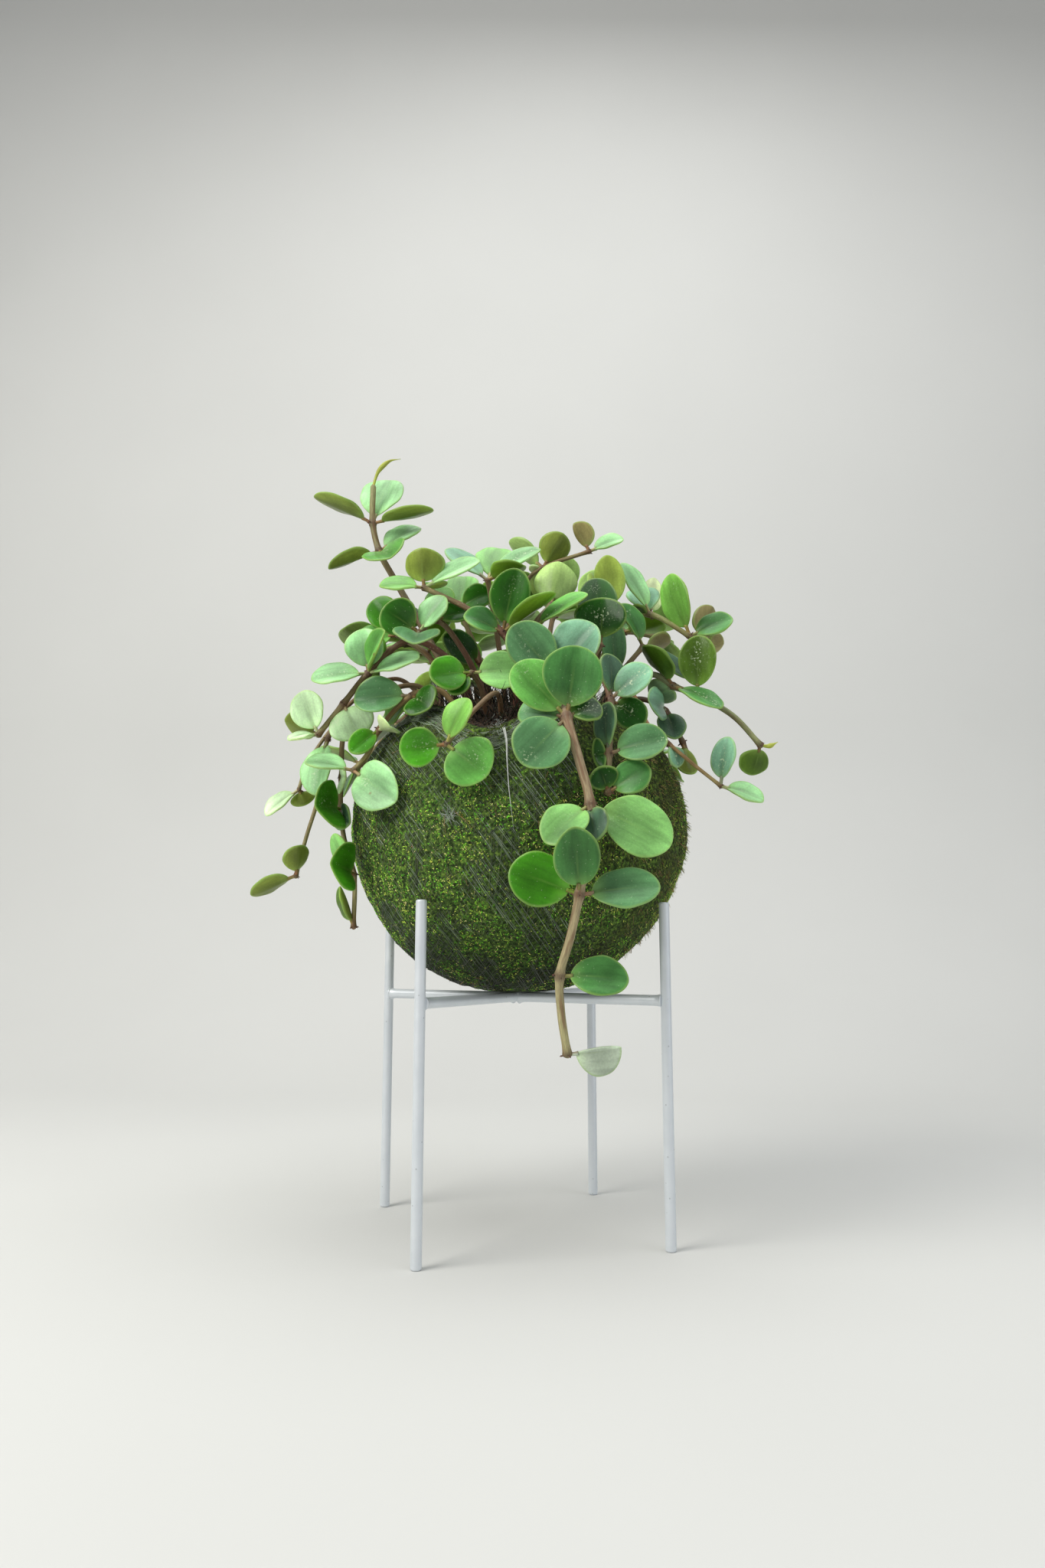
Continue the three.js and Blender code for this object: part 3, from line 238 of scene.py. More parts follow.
     [5, [-30, -114, 239.5, -54], [-0.2, -0.5, 0.8], 13]]},
  {"name": "left_crown_stem", "radius": 1.6,
   "crown": [[-10, -28, 250], [-24, -36, 282]],
   "route": [[-45, -37, 296, -42], [-45, -45.5, 290, -46]],
   "leaves": [
     [3, [-45, -64, 303, -50], [-0.3, -0.9, 0.2], 20],
     [3, [-45, -32.5, 308, -50], [-0.2, -0.9, 0.4], 16],
     [3, [-45, -48, 284, -64], [0.1, -0.6, 0.8], 23],
     [2, [-45, -20, 300, -40], [0, -0.9, 0.4], 14]]},
  {"name": "left_back_stem", "radius": 1.6,
   "crown": [[-24, -14, 250], [-42, -20, 282]],
   "route": [[-45, -56, 289, -26]],
   "leaves": [
     [2, [-45, -68.5, 307.5, -24], [-0.3, -0.85, 0.3], 17],
     [2, [-45, -80, 283, -26], [-0.2, -0.9, 0.3], 17],
     [2, [-45, -50, 304, -12], [0.2, -0.85, 0.4], 18]]},
  {"name": "left_inner_stem", "radius": 1.5,
   "crown": [[-16, -10, 251], [-18, -12, 282]],
   "route": [[-45, -26, 302, -13]],
   "leaves": [
     [2, [-45, -42, 309, -10], [-0.2, -0.85, 0.4], 17],
     [2, [-45, -9, 310, -12], [0.1, -0.9, 0.3], 16],
     [2, [-45, -24, 324, -4], [0, -0.75, 0.65], 18],
     [1, [-45, -34, 288, -30], [0.1, -0.95, 0.2], 17]]},
  {"name": "left_front_trailer", "radius": 1.5,
   "crown": [[-24, -46, 247], [-34, -50, 259]],
   "route": [[-45, -48.5, 258, -49], [-45, -64.5, 241, -49], [-30, -73, 232, -50],
             [-30, -80, 223.5, -52]],
   "leaves": [
     [2, [-45, -75, 252, -44], [0, -0.95, 0.25], 20],
     [2, [-45, -38.5, 249.5, -58], [0.1, -0.95, 0.2], 19],
     [2, [-45, -65, 247, -42], [-0.2, -0.9, 0.3], 14],
     [3, [-45, -50, 233.5, -62], [-0.5, 0.5, 0.5], 13],
     [3, [-30, -81.5, 231, -50], [0.5, -0.6, 0.5], 12],
     [5, [-30, -105, 228, -56], [0.1, -0.55, 0.8], 17],
     [5, [-30, -54.5, 206, -68], [-0.4, -0.9, 0.15], 23]]},
  {"name": "front_left_spray", "radius": 1.3,
   "crown": [[-4, -48, 246], [-5, -62, 254]],
   "route": [[-80, -13, 243, -80], [-80, -26.5, 226.5, -86]],
   "leaves": [
     [3, [-80, -16.5, 247.5, -90], [-0.5, -0.8, 0.3], 17],
     [3, [-80, -48, 224, -88], [-0.1, -1, -0.1], 18],
     [3, [-80, -8, 211.5, -90], [0, -1, 0.1], 25]]},
  {"name": "centre_left_stem", "radius": 1.4,
   "crown": [[-12, -42, 248], [-15, -48, 262]],
   "route": [[-45, -19.5, 269, -54]],
   "leaves": [
     [2, [-45, -40, 267.5, -64], [-0.2, -0.95, 0.1], 19],
     [2, [-45, 6, 261, -50], [0.2, -1, 0.2], 21],
     [2, [-45, -29, 256, -52], [0.1, -0.9, 0.3], 12]]},
  {"name": "left_hanging_stem", "radius": 1.4,
   "crown": [[-34, -10, 250], [-50, -15, 270], [-70, -22, 264]],
   "route": [[-30, -84.5, 245, -30], [-30, -86, 220, -32], [-30, -86, 204, -33], [-30, -84, 190, -34],
             [-30, -78.5, 171.5, -37], [-30, -78, 146, -38]],
   "leaves": [
     [4, [-30, -84, 219, -38], [-0.85, -0.5, 0], 17],
     [5, [-30, -79, 196.5, -42], [-0.7, -0.7, 0], 14],
     [5, [-30, -97.5, 201, -58], [0.75, -0.6, 0.15], 25],
     [7, [-30, -90.5, 177, -60], [0.75, -0.6, 0.15], 24],
     [7, [-30, -82, 193, -34], [-0.6, -0.7, 0.1], 12],
     [8, [-30, -82.5, 166.5, -40], [-0.9, -0.35, 0], 14]]},
  {"name": "left_far_trailer", "radius": 1.2,
   "crown": [[-38, -2, 250], [-62, -8, 276], [-84, -18, 262]],
   "route": [[-30, -93.5, 240, -30], [-30, -97.5, 210, -32], [-30, -103, 190, -33],
             [-30, -107.5, 171, -34]],
   "leaves": [
     [3, [-30, -91.5, 210.5, -38], [-0.35, -0.9, 0.1], 19],
     [6, [-30, -110, 188, -38], [-0.5, 0.6, 0.1], 14],
     [6, [-30, -130, 161.5, -38], [-0.2, 0.4, 0.85], 14]]},
  {"name": "left_far_twig", "radius": 1.1,
   "crown": [[-42, 8, 250], [-66, 4, 272], [-90, -6, 258]],
   "route": [[-30, -104, 226, -18], [-30, -107.5, 214, -20]],
   "leaves": [
     [4, [-30, -124, 201, -24], [-0.4, -0.75, 0.5], 13],
     [4, [-30, -104, 206, -18], [-0.1, 0.8, -0.1], 13]]},
  {"name": "right_withered_stem", "radius": 1.5,
   "crown": [[46, 6, 250], [62, 4, 266]],
   "route": [[-30, 76, 252, -6], [-30, 84, 236, -4], [-30, 89, 222, -3]],
   "leaves": [
     [3, [-30, 86, 217, -8], [-0.2, 0.8, 0.3], 12],
     [2, [-30, 80.5, 237.5, -22], [0.1, -0.95, 0.2], 15],
     [2, [-30, 73.5, 269.5, -38], [0.85, -0.5, 0], 17]]},
]

# Stems of the unseen back and middle, as in the part: the direction round from +X in degrees, how far out the
# foot and the tip are from the axis, the height that the stem bows up to, and the height of its tip.

BACK_STEMS = [
  [20, 36, 78, 318, 306],
  [42, 44, 104, 300, 246],
  [62, 30, 70, 352, 338],
  [80, 42, 98, 304, 262],
  [98, 26, 56, 340, 330],
  [112, 44, 108, 296, 218],
  [134, 34, 84, 326, 304],
  [152, 44, 102, 300, 240],
  [176, 40, 76, 314, 294],
  [150, 14, 30, 286, 282],
]
BACK_FOOT_HEIGHT = 249
BACK_SWAY = 7
BACK_POINTS = 5
BACK_RADIUS = 1.6
BACK_WHORLS = [(2, 2), (3, 2), (4, 3)]    # numbers of the points that carry leaves, and of those leaves
BACK_LEAN = (0.25, 0.75)
BACK_REACH = (24, 31)
BACK_WIDTH = (16, 22)
BACK_FACE_OUT = (0.3, 0.9)

# Tones of the leaves: the colour of the upper face and of the underside. The shade tone is painted shade for
# leaves that hang in the crown's shadow.

TONES = {
    "pale": ("#c0e0b0", "#c8d8a0"),
    "mint": ("#98cc90", "#b0cc88"),
    "light": ("#80b868", "#a0c070"),
    "fresh": ("#60a048", "#88a048"),
    "mid": ("#488040", "#809850"),
    "grey": ("#588858", "#789068"),
    "dusty": ("#78a888", "#88a880"),
    "slate": ("#486850", "#586850"),
    "vivid": ("#408818", "#709828"),
    "deep": ("#286010", "#507018"),
    "shade": ("#184808", "#406018"),
    "lime": ("#70a848", "#a0b850"),
    "olive": ("#507020", "#788838"),
    "dry": ("#687038", "#888050"),
    "faded": ("#c0d0b8", "#c0d0b8"),
}

# The tone of each seen leaf, listed in the order of its stem's leaves

LEAF_TONES = {
    "front_trailer": "mid fresh grey grey shade light slate light mid vivid grey mid faded",
    "right_front_trailer": "dusty slate shade slate grey shade mid shade",
    "right_low_twig": "dusty dusty mint",
    "right_reaching_stem": "shade dusty mid olive deep grey",
    "right_arching_stem": "mint dusty shade lime mid dry dry pale",
    "right_inner_stem": "mid slate dry",
    "right_upright_stem": "lime fresh",
    "centre_right_stem": "shade shade",
    "centre_front_stem": "dusty grey",
    "centre_back_stem": "fresh light",
    "top_right_stem": "olive light pale dry mint",
    "top_left_stem": "dusty light mint vivid",
    "left_long_stem": "deep mid light olive mint lime vivid",
    "tall_stem": "mint fresh olive olive olive mint",
    "left_arching_stem": "mint fresh vivid mint mint pale pale olive pale",
    "left_crown_stem": "deep mint grey deep",
    "left_back_stem": "vivid fresh deep",
    "left_inner_stem": "light deep light shade",
    "left_front_trailer": "grey deep lime pale vivid mint mint",
    "front_left_spray": "lime vivid fresh",
    "centre_left_stem": "vivid light deep",
    "left_hanging_stem": "pale slate vivid vivid light olive",
    "left_far_trailer": "mint olive olive",
    "left_far_twig": "pale olive",
    "right_withered_stem": "olive slate dusty",
}
BACK_TONES = ["mint", "light", "fresh", "fresh", "mid", "mid", "vivid", "deep"]

# The bark of each stem, and the colours that it turns to at its nodes, tips and stalks

BARK = {
    "front_trailer": "#ab9777", "right_front_trailer": "#7f6550", "right_low_twig": "#a5794e",
    "right_reaching_stem": "#78805c", "right_arching_stem": "#8f9358", "left_long_stem": "#6b4134",
    "tall_stem": "#7a6a4e", "left_arching_stem": "#6f4a3a", "left_crown_stem": "#6f4a3a",
    "left_front_trailer": "#a88d5e", "left_hanging_stem": "#8a7554", "right_withered_stem": "#5a4a38",
}
BARK_ELSEWHERE = "#7d6248"
NODE_BARK = "#54382c"                 # the darker skin of a swollen node
YOUNG_BARK = 0.55                     # how green the bark is at the tip
YOUNG_GREEN = "#aab072"
PETIOLE_RED = "#a05a48"
SPROUT_GREEN = "#b3bd4c"

# How the leaves are set clear of the ball, of the rods and of each other, as in the part

PETIOLE_SHARE = 0.15                  # of the length from the stem to the tip of the leaf
LEAF_CUP = (0.06, 0.18)
LEAF_DROOP = (0.02, 0.1)
OUTLINE_SKEW = 1.08                   # over 1, it puts the widest place beyond the middle
OUTLINE_POWER = 0.55
LEAF_CLEARANCE = 2.5                  # between the middle surfaces of leaves of two stems
SIBLING_CLEARANCE = 1.5               # and of one stem
OUTLINE_MARGIN = 1.2                  # round a leaf's outline, which counts as inside it
NODE_FREE = 0.25                      # share of a leaf near its node that may touch leaves of that node
BALL_CLEARANCE = 2.2
ROD_CLEARANCE = 1.5                   # from a stem's or leg's surface to a leaf's middle surface
ROD_STEP = 3                          # between the points at which a stem or leg is tested
NEAR_LEAVES = 12                      # two leaves this far apart past half their lengths need no test
FIRST_DRAW = 20260                    # the state that the draws start from
DRAW_FACTOR = 16807
DRAW_PRIME = 2147483647

# Where a leaf is tested, along it and across it, and the degrees that it may be turned by about its node: up
# or down, about its own length, and sideways

SAMPLE_SHARES = np.array([0.04, 0.22, 0.42, 0.62, 0.82])
SAMPLE_SIDES = np.array([-0.92, -0.45, 0, 0.45, 0.92])
PITCHES = [0, 8, -8, 16, -16, 24, -24, 32, -32, 42, -42]
ROLLS = [0, 12, -12, 24, -24, 38, -38, 52, -52]
YAWS = [0, 10, -10, 20, -20, 32, -32]
TURN_WEIGHTS = (1, 0.8, 1.2)          # how much a degree of each counts, in that order


# The plant's growth: the same rules as the part's, so that every leaf is where its solid is

def unit(vectors):
    """Vectors divided by their own length."""
    return vectors / np.linalg.norm(vectors, axis=-1, keepdims=True)


def square_to(vectors, axis):
    """The unit part of vectors that is square to a unit axis."""
    return unit(vectors - axis * np.sum(vectors * axis, axis=-1, keepdims=True))


def make_draw(state):
    """A repeatable draw: the state is multiplied by a factor and kept under a prime."""
    def draw(low, high):
        """The next number, as far between the two given as the state is between 0 and the prime."""
        nonlocal state
        state = (state * DRAW_FACTOR) % DRAW_PRIME
        return low + (high - low) * state / DRAW_PRIME
    return draw


def sighted(places):
    """True points of sighted ones: on the line from the viewpoint through (x, z) of an upright pane, at their
    depth."""
    pane, x, z, depth = np.array(places, float).reshape(-1, 4).T
    stretch = (depth - VIEWPOINT[1]) / (pane - VIEWPOINT[1])
    across = VIEWPOINT[0] + (x - VIEWPOINT[0]) * stretch
    height = VIEWPOINT[2] + (z - VIEWPOINT[2]) * stretch
    return np.stack([across, depth, height], axis=-1)


def leaf_outline(share):
    """Half-width over half the greatest width: 4 a (1 - a) to the outline's power, where a is the share to
    the power of the skew."""
    along = np.clip(share, 0, 1) ** OUTLINE_SKEW
    return (4 * along * (1 - along)) ** OUTLINE_POWER


def leaf_height(leaf, share, side):
    """Height over the flat plane of a leaf: its cup times width times side squared, less its droop times
    length times share squared."""
    return leaf["cup"] * leaf["width"] * side * side - leaf["droop"] * leaf["length"] * share * share


def half_kept(folded, side):
    """The share of a half of a leaf that shows: a leaf folded along its middle hides most of one half, that
    on its positive side where the fold is above 0."""
    return 1 - np.abs(folded) * (side * folded > 0)


def make_leaf(stem, at, tip, facing, width, draw, folded=0):
    """A leaf from a point of its stem to its tip, with draws for its cup and droop. Its plane is set higher
    than its tip by as much as the tip droops."""
    node = stem["points"][at]
    reach = tip - node
    whole = np.linalg.norm(reach)
    cup = draw(*LEAF_CUP)
    droop = draw(*LEAF_DROOP)
    petiole = whole * PETIOLE_SHARE
    length = whole - petiole
    along = unit(reach + square_to(np.array(facing, float), unit(reach)) * droop * length)
    face = square_to(np.array(facing, float), along)
    return {"stem": stem["number"], "at": at, "node": node, "along": along, "face": face, "width": width,
            "folded": folded, "petiole": petiole, "length": length, "cup": cup, "droop": droop}


def leaf_points(leaf, shares, sides):
    """Points of the middle surface of a leaf at shares of its length and sides of its half-width."""
    half = sides * leaf_outline(shares) * half_kept(leaf["folded"], sides)
    forward = leaf["petiole"] + shares * leaf["length"]
    sideways = half * leaf["width"] / 2
    height = leaf_height(leaf, shares, half)
    return (leaf["node"] + forward[:, None] * leaf["along"] + sideways[:, None] * leaf["across"]
            + height[:, None] * leaf["face"])


def spun(vector, axis, angle):
    """A vector turned about a unit axis."""
    cosine, sine = np.cos(angle), np.sin(angle)
    return vector * cosine + np.cross(axis, vector) * sine + axis * (np.dot(axis, vector) * (1 - cosine))


def turned(leaf, pitch, roll, yaw):
    """A leaf turned about its node: first up or down, then sideways, then about its own length."""
    across = np.cross(leaf["face"], leaf["along"])
    along = spun(leaf["along"], across, pitch)
    face = spun(leaf["face"], across, pitch)
    along = spun(along, face, yaw)
    face = spun(face, along, roll)
    trial = dict(leaf, along=along, face=face, across=np.cross(face, along))
    shares = np.append(np.repeat(SAMPLE_SHARES, len(SAMPLE_SIDES)), 1.0)
    sides = np.append(np.tile(SAMPLE_SIDES, len(SAMPLE_SHARES)), 0.0)
    trial["samples"] = leaf_points(trial, shares, sides)
    trial["middle"] = leaf_points(trial, np.array([0.5]), np.array([0.0]))[0]
    return trial


def heights_inside(leaf, points, margin):
    """Height of points over a leaf's middle surface, and whether they lie within its outline and a margin.
    Either the leaf's values or the points may be a batch."""
    away = points - leaf["node"]
    forward = np.sum(away * leaf["along"], axis=-1) - leaf["petiole"]
    sideways = np.abs(np.sum(away * leaf["across"], axis=-1))
    share = forward / leaf["length"]
    half = leaf_outline(share) * leaf["width"] / 2
    inside = (forward > -margin) & (forward < leaf["length"] + margin) & (sideways < half + margin)
    side = np.minimum(sideways / (leaf["width"] / 2), 1)
    height = np.sum(away * leaf["face"], axis=-1) - leaf_height(leaf, share, side)
    return height, inside


def in_the_way(height, inside, clearance):
    """True for each row with a point nearer than the clearance, or with points on both sides."""
    near = (inside & (np.abs(height) < clearance)).any(axis=-1)
    both = (inside & (height > 0)).any(axis=-1) & (inside & (height < 0)).any(axis=-1)
    return near | both


def clear_of_ball(leaf):
    """True where each sample lies outside the ball and a clearance."""
    radii = np.array([BALL_RADIUS, BALL_RADIUS, BALL_HALF_HEIGHT]) + BALL_CLEARANCE
    return (np.sum(((leaf["samples"] - BALL_CENTRE) / radii) ** 2, axis=-1) > 1).all()


def clear_of_leaves(leaf, placed):
    """True where no near leaf is too close or crosses this one. Leaves of one node are free near it."""
    apart = np.linalg.norm(leaf["middle"] - placed["middle"], axis=-1)
    near = apart <= (leaf["length"] + placed["length"][:, 0]) / 2 + NEAR_LEAVES
    if not near.any():
        return True
    others = {key: values[near] for key, values in placed.items()}
    same_stem = others["stem"] == leaf["stem"]
    same_node = same_stem & (others["at"] == leaf["at"])
    clearance = np.where(same_stem, SIBLING_CLEARANCE, LEAF_CLEARANCE)[:, None]
    skip = int(np.ceil(len(SAMPLE_SHARES) * NODE_FREE)) * len(SAMPLE_SIDES)
    counted = np.arange(len(leaf["samples"])) >= np.where(same_node, skip, 0)[:, None]
    framed = {key: others[key][:, None] for key in ("node", "along", "across", "face")}
    framed.update({key: others[key] for key in ("petiole", "length", "width", "cup", "droop")})
    height, inside = heights_inside(framed, leaf["samples"], OUTLINE_MARGIN)
    if in_the_way(height, inside & counted, clearance).any():
        return False
    height, inside = heights_inside(leaf, others["samples"], OUTLINE_MARGIN)
    return not in_the_way(height, inside & counted, clearance).any()


def clear_of_rods(leaf, rods):
    """True where no stem or leg is too close or crosses this leaf. Its own stem is free near the node."""
    distance = np.linalg.norm(rods["samples"] - leaf["node"], axis=-1)
    free = rods["radius"] + leaf["petiole"] + leaf["length"] * NODE_FREE
    counted = (rods["owner"] != leaf["stem"]) | (distance > free)
    height, inside = heights_inside(leaf, rods["samples"], rods["radius"])
    inside &= counted
    if (inside & (np.abs(height) < rods["radius"] + ROD_CLEARANCE)).any():
        return False
    rod_count = rods["number"][-1] + 1
    over = np.bincount(rods["number"], inside & (height > 0), rod_count) > 0
    under = np.bincount(rods["number"], inside & (height < 0), rod_count) > 0
    return not (over & under).any()


def rod_samples(points):
    """Points along the straight stretches between a rod's points, at most a step apart."""
    pieces = []
    for start, end in zip(points[:-1], points[1:]):
        steps = int(np.ceil(np.linalg.norm(end - start) / ROD_STEP))
        pieces.append(start + (end - start) * (np.arange(steps) / steps)[:, None])
    return np.concatenate([*pieces, points[-1:]])


def make_rods(stems, leg_feet):
    """Samples of all stems above their feet and of the legs, with their radius, number and owner."""
    legs = [np.array([foot, foot + [0, 0, LEG_HEIGHT]]) for foot in leg_feet]
    lines = [rod_samples(stem["points"][1:]) for stem in stems] + [rod_samples(leg) for leg in legs]
    radii = [stem["radius"] for stem in stems] + [ROD_DIAMETER / 2] * len(legs)
    owners = [stem["number"] for stem in stems] + [-1] * len(legs)
    counts = [len(line) for line in lines]
    return {"samples": np.concatenate(lines), "radius": np.repeat(radii, counts),
            "owner": np.repeat(owners, counts), "number": np.repeat(np.arange(len(lines)), counts)}


def sorted_turns():
    """Small turns of a leaf about its node in degrees, the least first."""
    turns = [(pitch, roll, yaw) for pitch in PITCHES for roll in ROLLS for yaw in YAWS]
    return sorted(turns, key=lambda turn: sum(weight * abs(angle)
                                              for weight, angle in zip(TURN_WEIGHTS, turn)))


def stack_leaf(placed, leaf):
    """The batch of placed leaves with one more."""
    row = {key: np.atleast_1d(np.array(leaf[key], float))[None] for key in
           ("node", "along", "across", "face", "petiole", "length", "width", "cup", "droop", "middle")}
    row["samples"] = leaf["samples"][None]
    row["stem"] = np.array([leaf["stem"]])
    row["at"] = np.array([leaf["at"]])
    if placed is None:
        return row
    return {key: np.concatenate([placed[key], row[key]]) for key in row}


def settle(wanted, rods):
    """Each leaf as given if it is clear of all that stands already, or else after the least turn that clears
    it, or left out."""
    placed = None
    kept = []
    turns = np.radians(sorted_turns())
    for leaf in wanted:
        for pitch, roll, yaw in turns:
            trial = turned(leaf, pitch, roll, yaw)
            clear = clear_of_ball(trial) and (placed is None or clear_of_leaves(trial, placed))
            if clear and clear_of_rods(trial, rods):
                placed = stack_leaf(placed, trial)
                kept.append(trial)
                break
    return kept


def seen_stem(entry, number):
    """A stem through its true points and its sighted ones."""
    points = np.concatenate([np.array(entry["crown"], float), sighted(entry["route"])])
    shoot = sighted(entry["shoot"]) if "shoot" in entry else np.zeros((0, 3))
    return {"name": entry["name"], "number": number, "radius": entry["radius"], "points": points,
            "shoot": shoot}


def back_stem(row, index, number, draw):
    """A stem that rises from the soil, bows outwards and ends at its tip: a parabola that reaches half of the
    way from the middle of its ends to the height given for its bow, with a little sway."""
    around, foot, reach, top, end = row
    turn = np.radians(around)
    sway = draw(-BACK_SWAY, BACK_SWAY)
    bow = (top - max(BACK_FOOT_HEIGHT, (BACK_FOOT_HEIGHT + end) / 2)) / 2
    share = np.arange(BACK_POINTS) / (BACK_POINTS - 1)
    out = foot + (reach - foot) * share ** 2
    height = BACK_FOOT_HEIGHT + (end - BACK_FOOT_HEIGHT) * share + bow * 4 * share * (1 - share)
    side = sway * share
    points = np.stack([out * np.cos(turn) - side * np.sin(turn), out * np.sin(turn) + side * np.cos(turn),
                       height], axis=-1)
    return {"name": f"back_stem_{index + 1}", "number": number, "radius": BACK_RADIUS, "points": points,
            "shoot": np.zeros((0, 3))}


def back_leaves(stem, draw):
    """Leaves in whorls round a back stem, leaning towards its tip, with their faces up and outwards."""
    leaves = []
    for at, leaf_count in BACK_WHORLS:
        here = stem["points"][at]
        along = unit(here - stem["points"][at - 1])
        side = square_to(np.cross(along, [0, 0, 1.0]), along)
        up = np.cross(side, along)
        start = draw(0, 2 * np.pi / leaf_count)
        for count in range(leaf_count):
            around = start + 2 * np.pi * count / leaf_count
            spread = side * np.cos(around) + up * np.sin(around)
            lean = draw(*BACK_LEAN)
            reach = draw(*BACK_REACH)
            width = draw(*BACK_WIDTH)
            direction = unit(spread + along * lean)
            outward = unit(np.array([here[0], here[1], 0]))
            facing = outward * draw(*BACK_FACE_OUT) + [0, 0, 1]
            leaves.append(make_leaf(stem, at, here + direction * reach, facing, width, draw))
    return leaves


def leg_places():
    """The middle of each leg's foot, on a circle round the stand's axis."""
    turns = np.radians(LEG_TURN + 90 * np.arange(4))
    return np.stack([LEG_CIRCLE * np.cos(turns), LEG_CIRCLE * np.sin(turns), 0 * turns], axis=-1)


def grow_plant():
    """Every stem, and every leaf set clear of the others."""
    draw = make_draw(FIRST_DRAW)
    seen = [seen_stem(entry, number) for number, entry in enumerate(SEEN_STEMS)]
    back = [back_stem(row, index, len(seen) + index, draw) for index, row in enumerate(BACK_STEMS)]
    wanted = []
    for entry, stem in zip(SEEN_STEMS, seen):
        for order, (at, tip, facing, width, *folded) in enumerate(entry["leaves"]):
            leaf = make_leaf(stem, at, sighted(tip)[0], facing, width, draw, *folded)
            wanted.append(dict(leaf, order=order))
    for stem in back:
        wanted += [dict(leaf, order=order) for order, leaf in enumerate(back_leaves(stem, draw))]
    return seen + back, settle(wanted, make_rods(seen + back, leg_places()))


# Shapes as grids. A part is a dict of its points, its faces, the number of its material, and its values:
# numbers or colours for each point, which the materials read.

COLOUR_VALUES = ("tone", "under_tone")
NOISE_CELLS = 32                      # the noise repeats after so many cells


def stand_axis():
    """The foot of the upright line midway between the four legs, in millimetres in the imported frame."""
    corners = np.array([[list(corner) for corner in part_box(name)] for name in LEG_NAMES])
    middle = corners.mean(axis=(0, 1)) * 1000
    return np.array([middle[0], middle[1], 0])


AXIS = stand_axis()


def to_linear(code):
    """The linear red, green and blue of an sRGB hex colour."""
    shares = np.array([int(code[start:start + 2], 16) for start in (1, 3, 5)]) / 255
    return np.where(shares <= 0.04045, shares / 12.92, ((shares + 0.055) / 1.055) ** 2.4)


def palette(codes):
    """The linear colours of a list of sRGB hex ones."""
    return np.array([to_linear(code) for code in codes])


def turn_angles(count):
    """Angles at even steps round a full turn."""
    return 2 * np.pi * np.arange(count) / count


def flat_directions(around):
    """Level unit directions at angles round from +X."""
    return np.stack([np.cos(around), np.sin(around), 0 * around], axis=-1)


def tube_faces(rows, sides):
    """Quads between the rings of a tube, and the triangles that close its ends on two poles which follow its
    rings."""
    ring = np.arange(sides)
    after = (ring + 1) % sides
    low = (np.arange(rows - 1) * sides)[:, None]
    quads = np.stack([low + ring, low + after, low + sides + after, low + sides + ring], axis=-1)
    top = (rows - 1) * sides
    first = np.stack([np.full(sides, rows * sides), after, ring], axis=-1)
    last = np.stack([np.full(sides, rows * sides + 1), top + ring, top + after], axis=-1)
    return quads.reshape(-1, 4), np.concatenate([first, last])


def copied(faces, count, stride):
    """The faces of one shape, repeated for each of a count of shapes of so many points."""
    steps = np.arange(count)[:, None, None] * stride
    return (faces[None] + steps).reshape(-1, faces.shape[1])


def ring_part(rings, poles, material=0, **values):
    """A batch of closed tubes from rings of points (count, rows, sides, 3) and their two poles (count, 2, 3).
    Each value is given for the rings, and a pole takes the mean of the ring next to it."""
    count, rows, sides, _ = rings.shape
    quads, triangles = tube_faces(rows, sides)
    stride = rows * sides + 2
    points = np.concatenate([rings.reshape(count, -1, 3), poles], axis=1).reshape(-1, 3)
    spread = {}
    for name, value in values.items():
        value = np.broadcast_to(value, (count, rows, sides) + value.shape[3:])
        ends = value[:, [0, -1]].mean(axis=2)
        flat = value.reshape((count, rows * sides) + value.shape[3:])
        spread[name] = np.concatenate([flat, ends], axis=1).reshape((-1,) + value.shape[3:])
    return {"points": points, "quads": copied(quads, count, stride),
            "triangles": copied(triangles, count, stride), "material": material, "values": spread}


def path_frames(paths, reference):
    """Unit vectors sideways and up at each point of each path: up is a reference direction made square to the
    path."""
    along = unit(np.gradient(paths, axis=1))
    up = square_to(np.broadcast_to(reference[:, None], along.shape), along)
    return np.cross(up, along), up


def tubes(paths, radii, sides, reference, material=0, **values):
    """A batch of closed round tubes: a circle of the given radius square to the path at each of its points.
    Each point also has its place across the tube and its distance along it."""
    sideways, up = path_frames(paths, reference)
    turn = turn_angles(sides)
    across = np.cos(turn)[:, None] * up[:, :, None] + np.sin(turn)[:, None] * -sideways[:, :, None]
    rings = paths[:, :, None] + radii[:, :, None, None] * across
    steps = np.linalg.norm(np.diff(paths, axis=1, prepend=paths[:, :1]), axis=-1).cumsum(axis=1)
    own = np.concatenate([radii[:, :, None, None] * np.stack([np.cos(turn), np.sin(turn)], axis=-1),
                          np.broadcast_to(steps[:, :, None, None], rings.shape[:3] + (1,))], axis=-1)
    return ring_part(rings, paths[:, [0, -1]], material, own_place=own, **values)


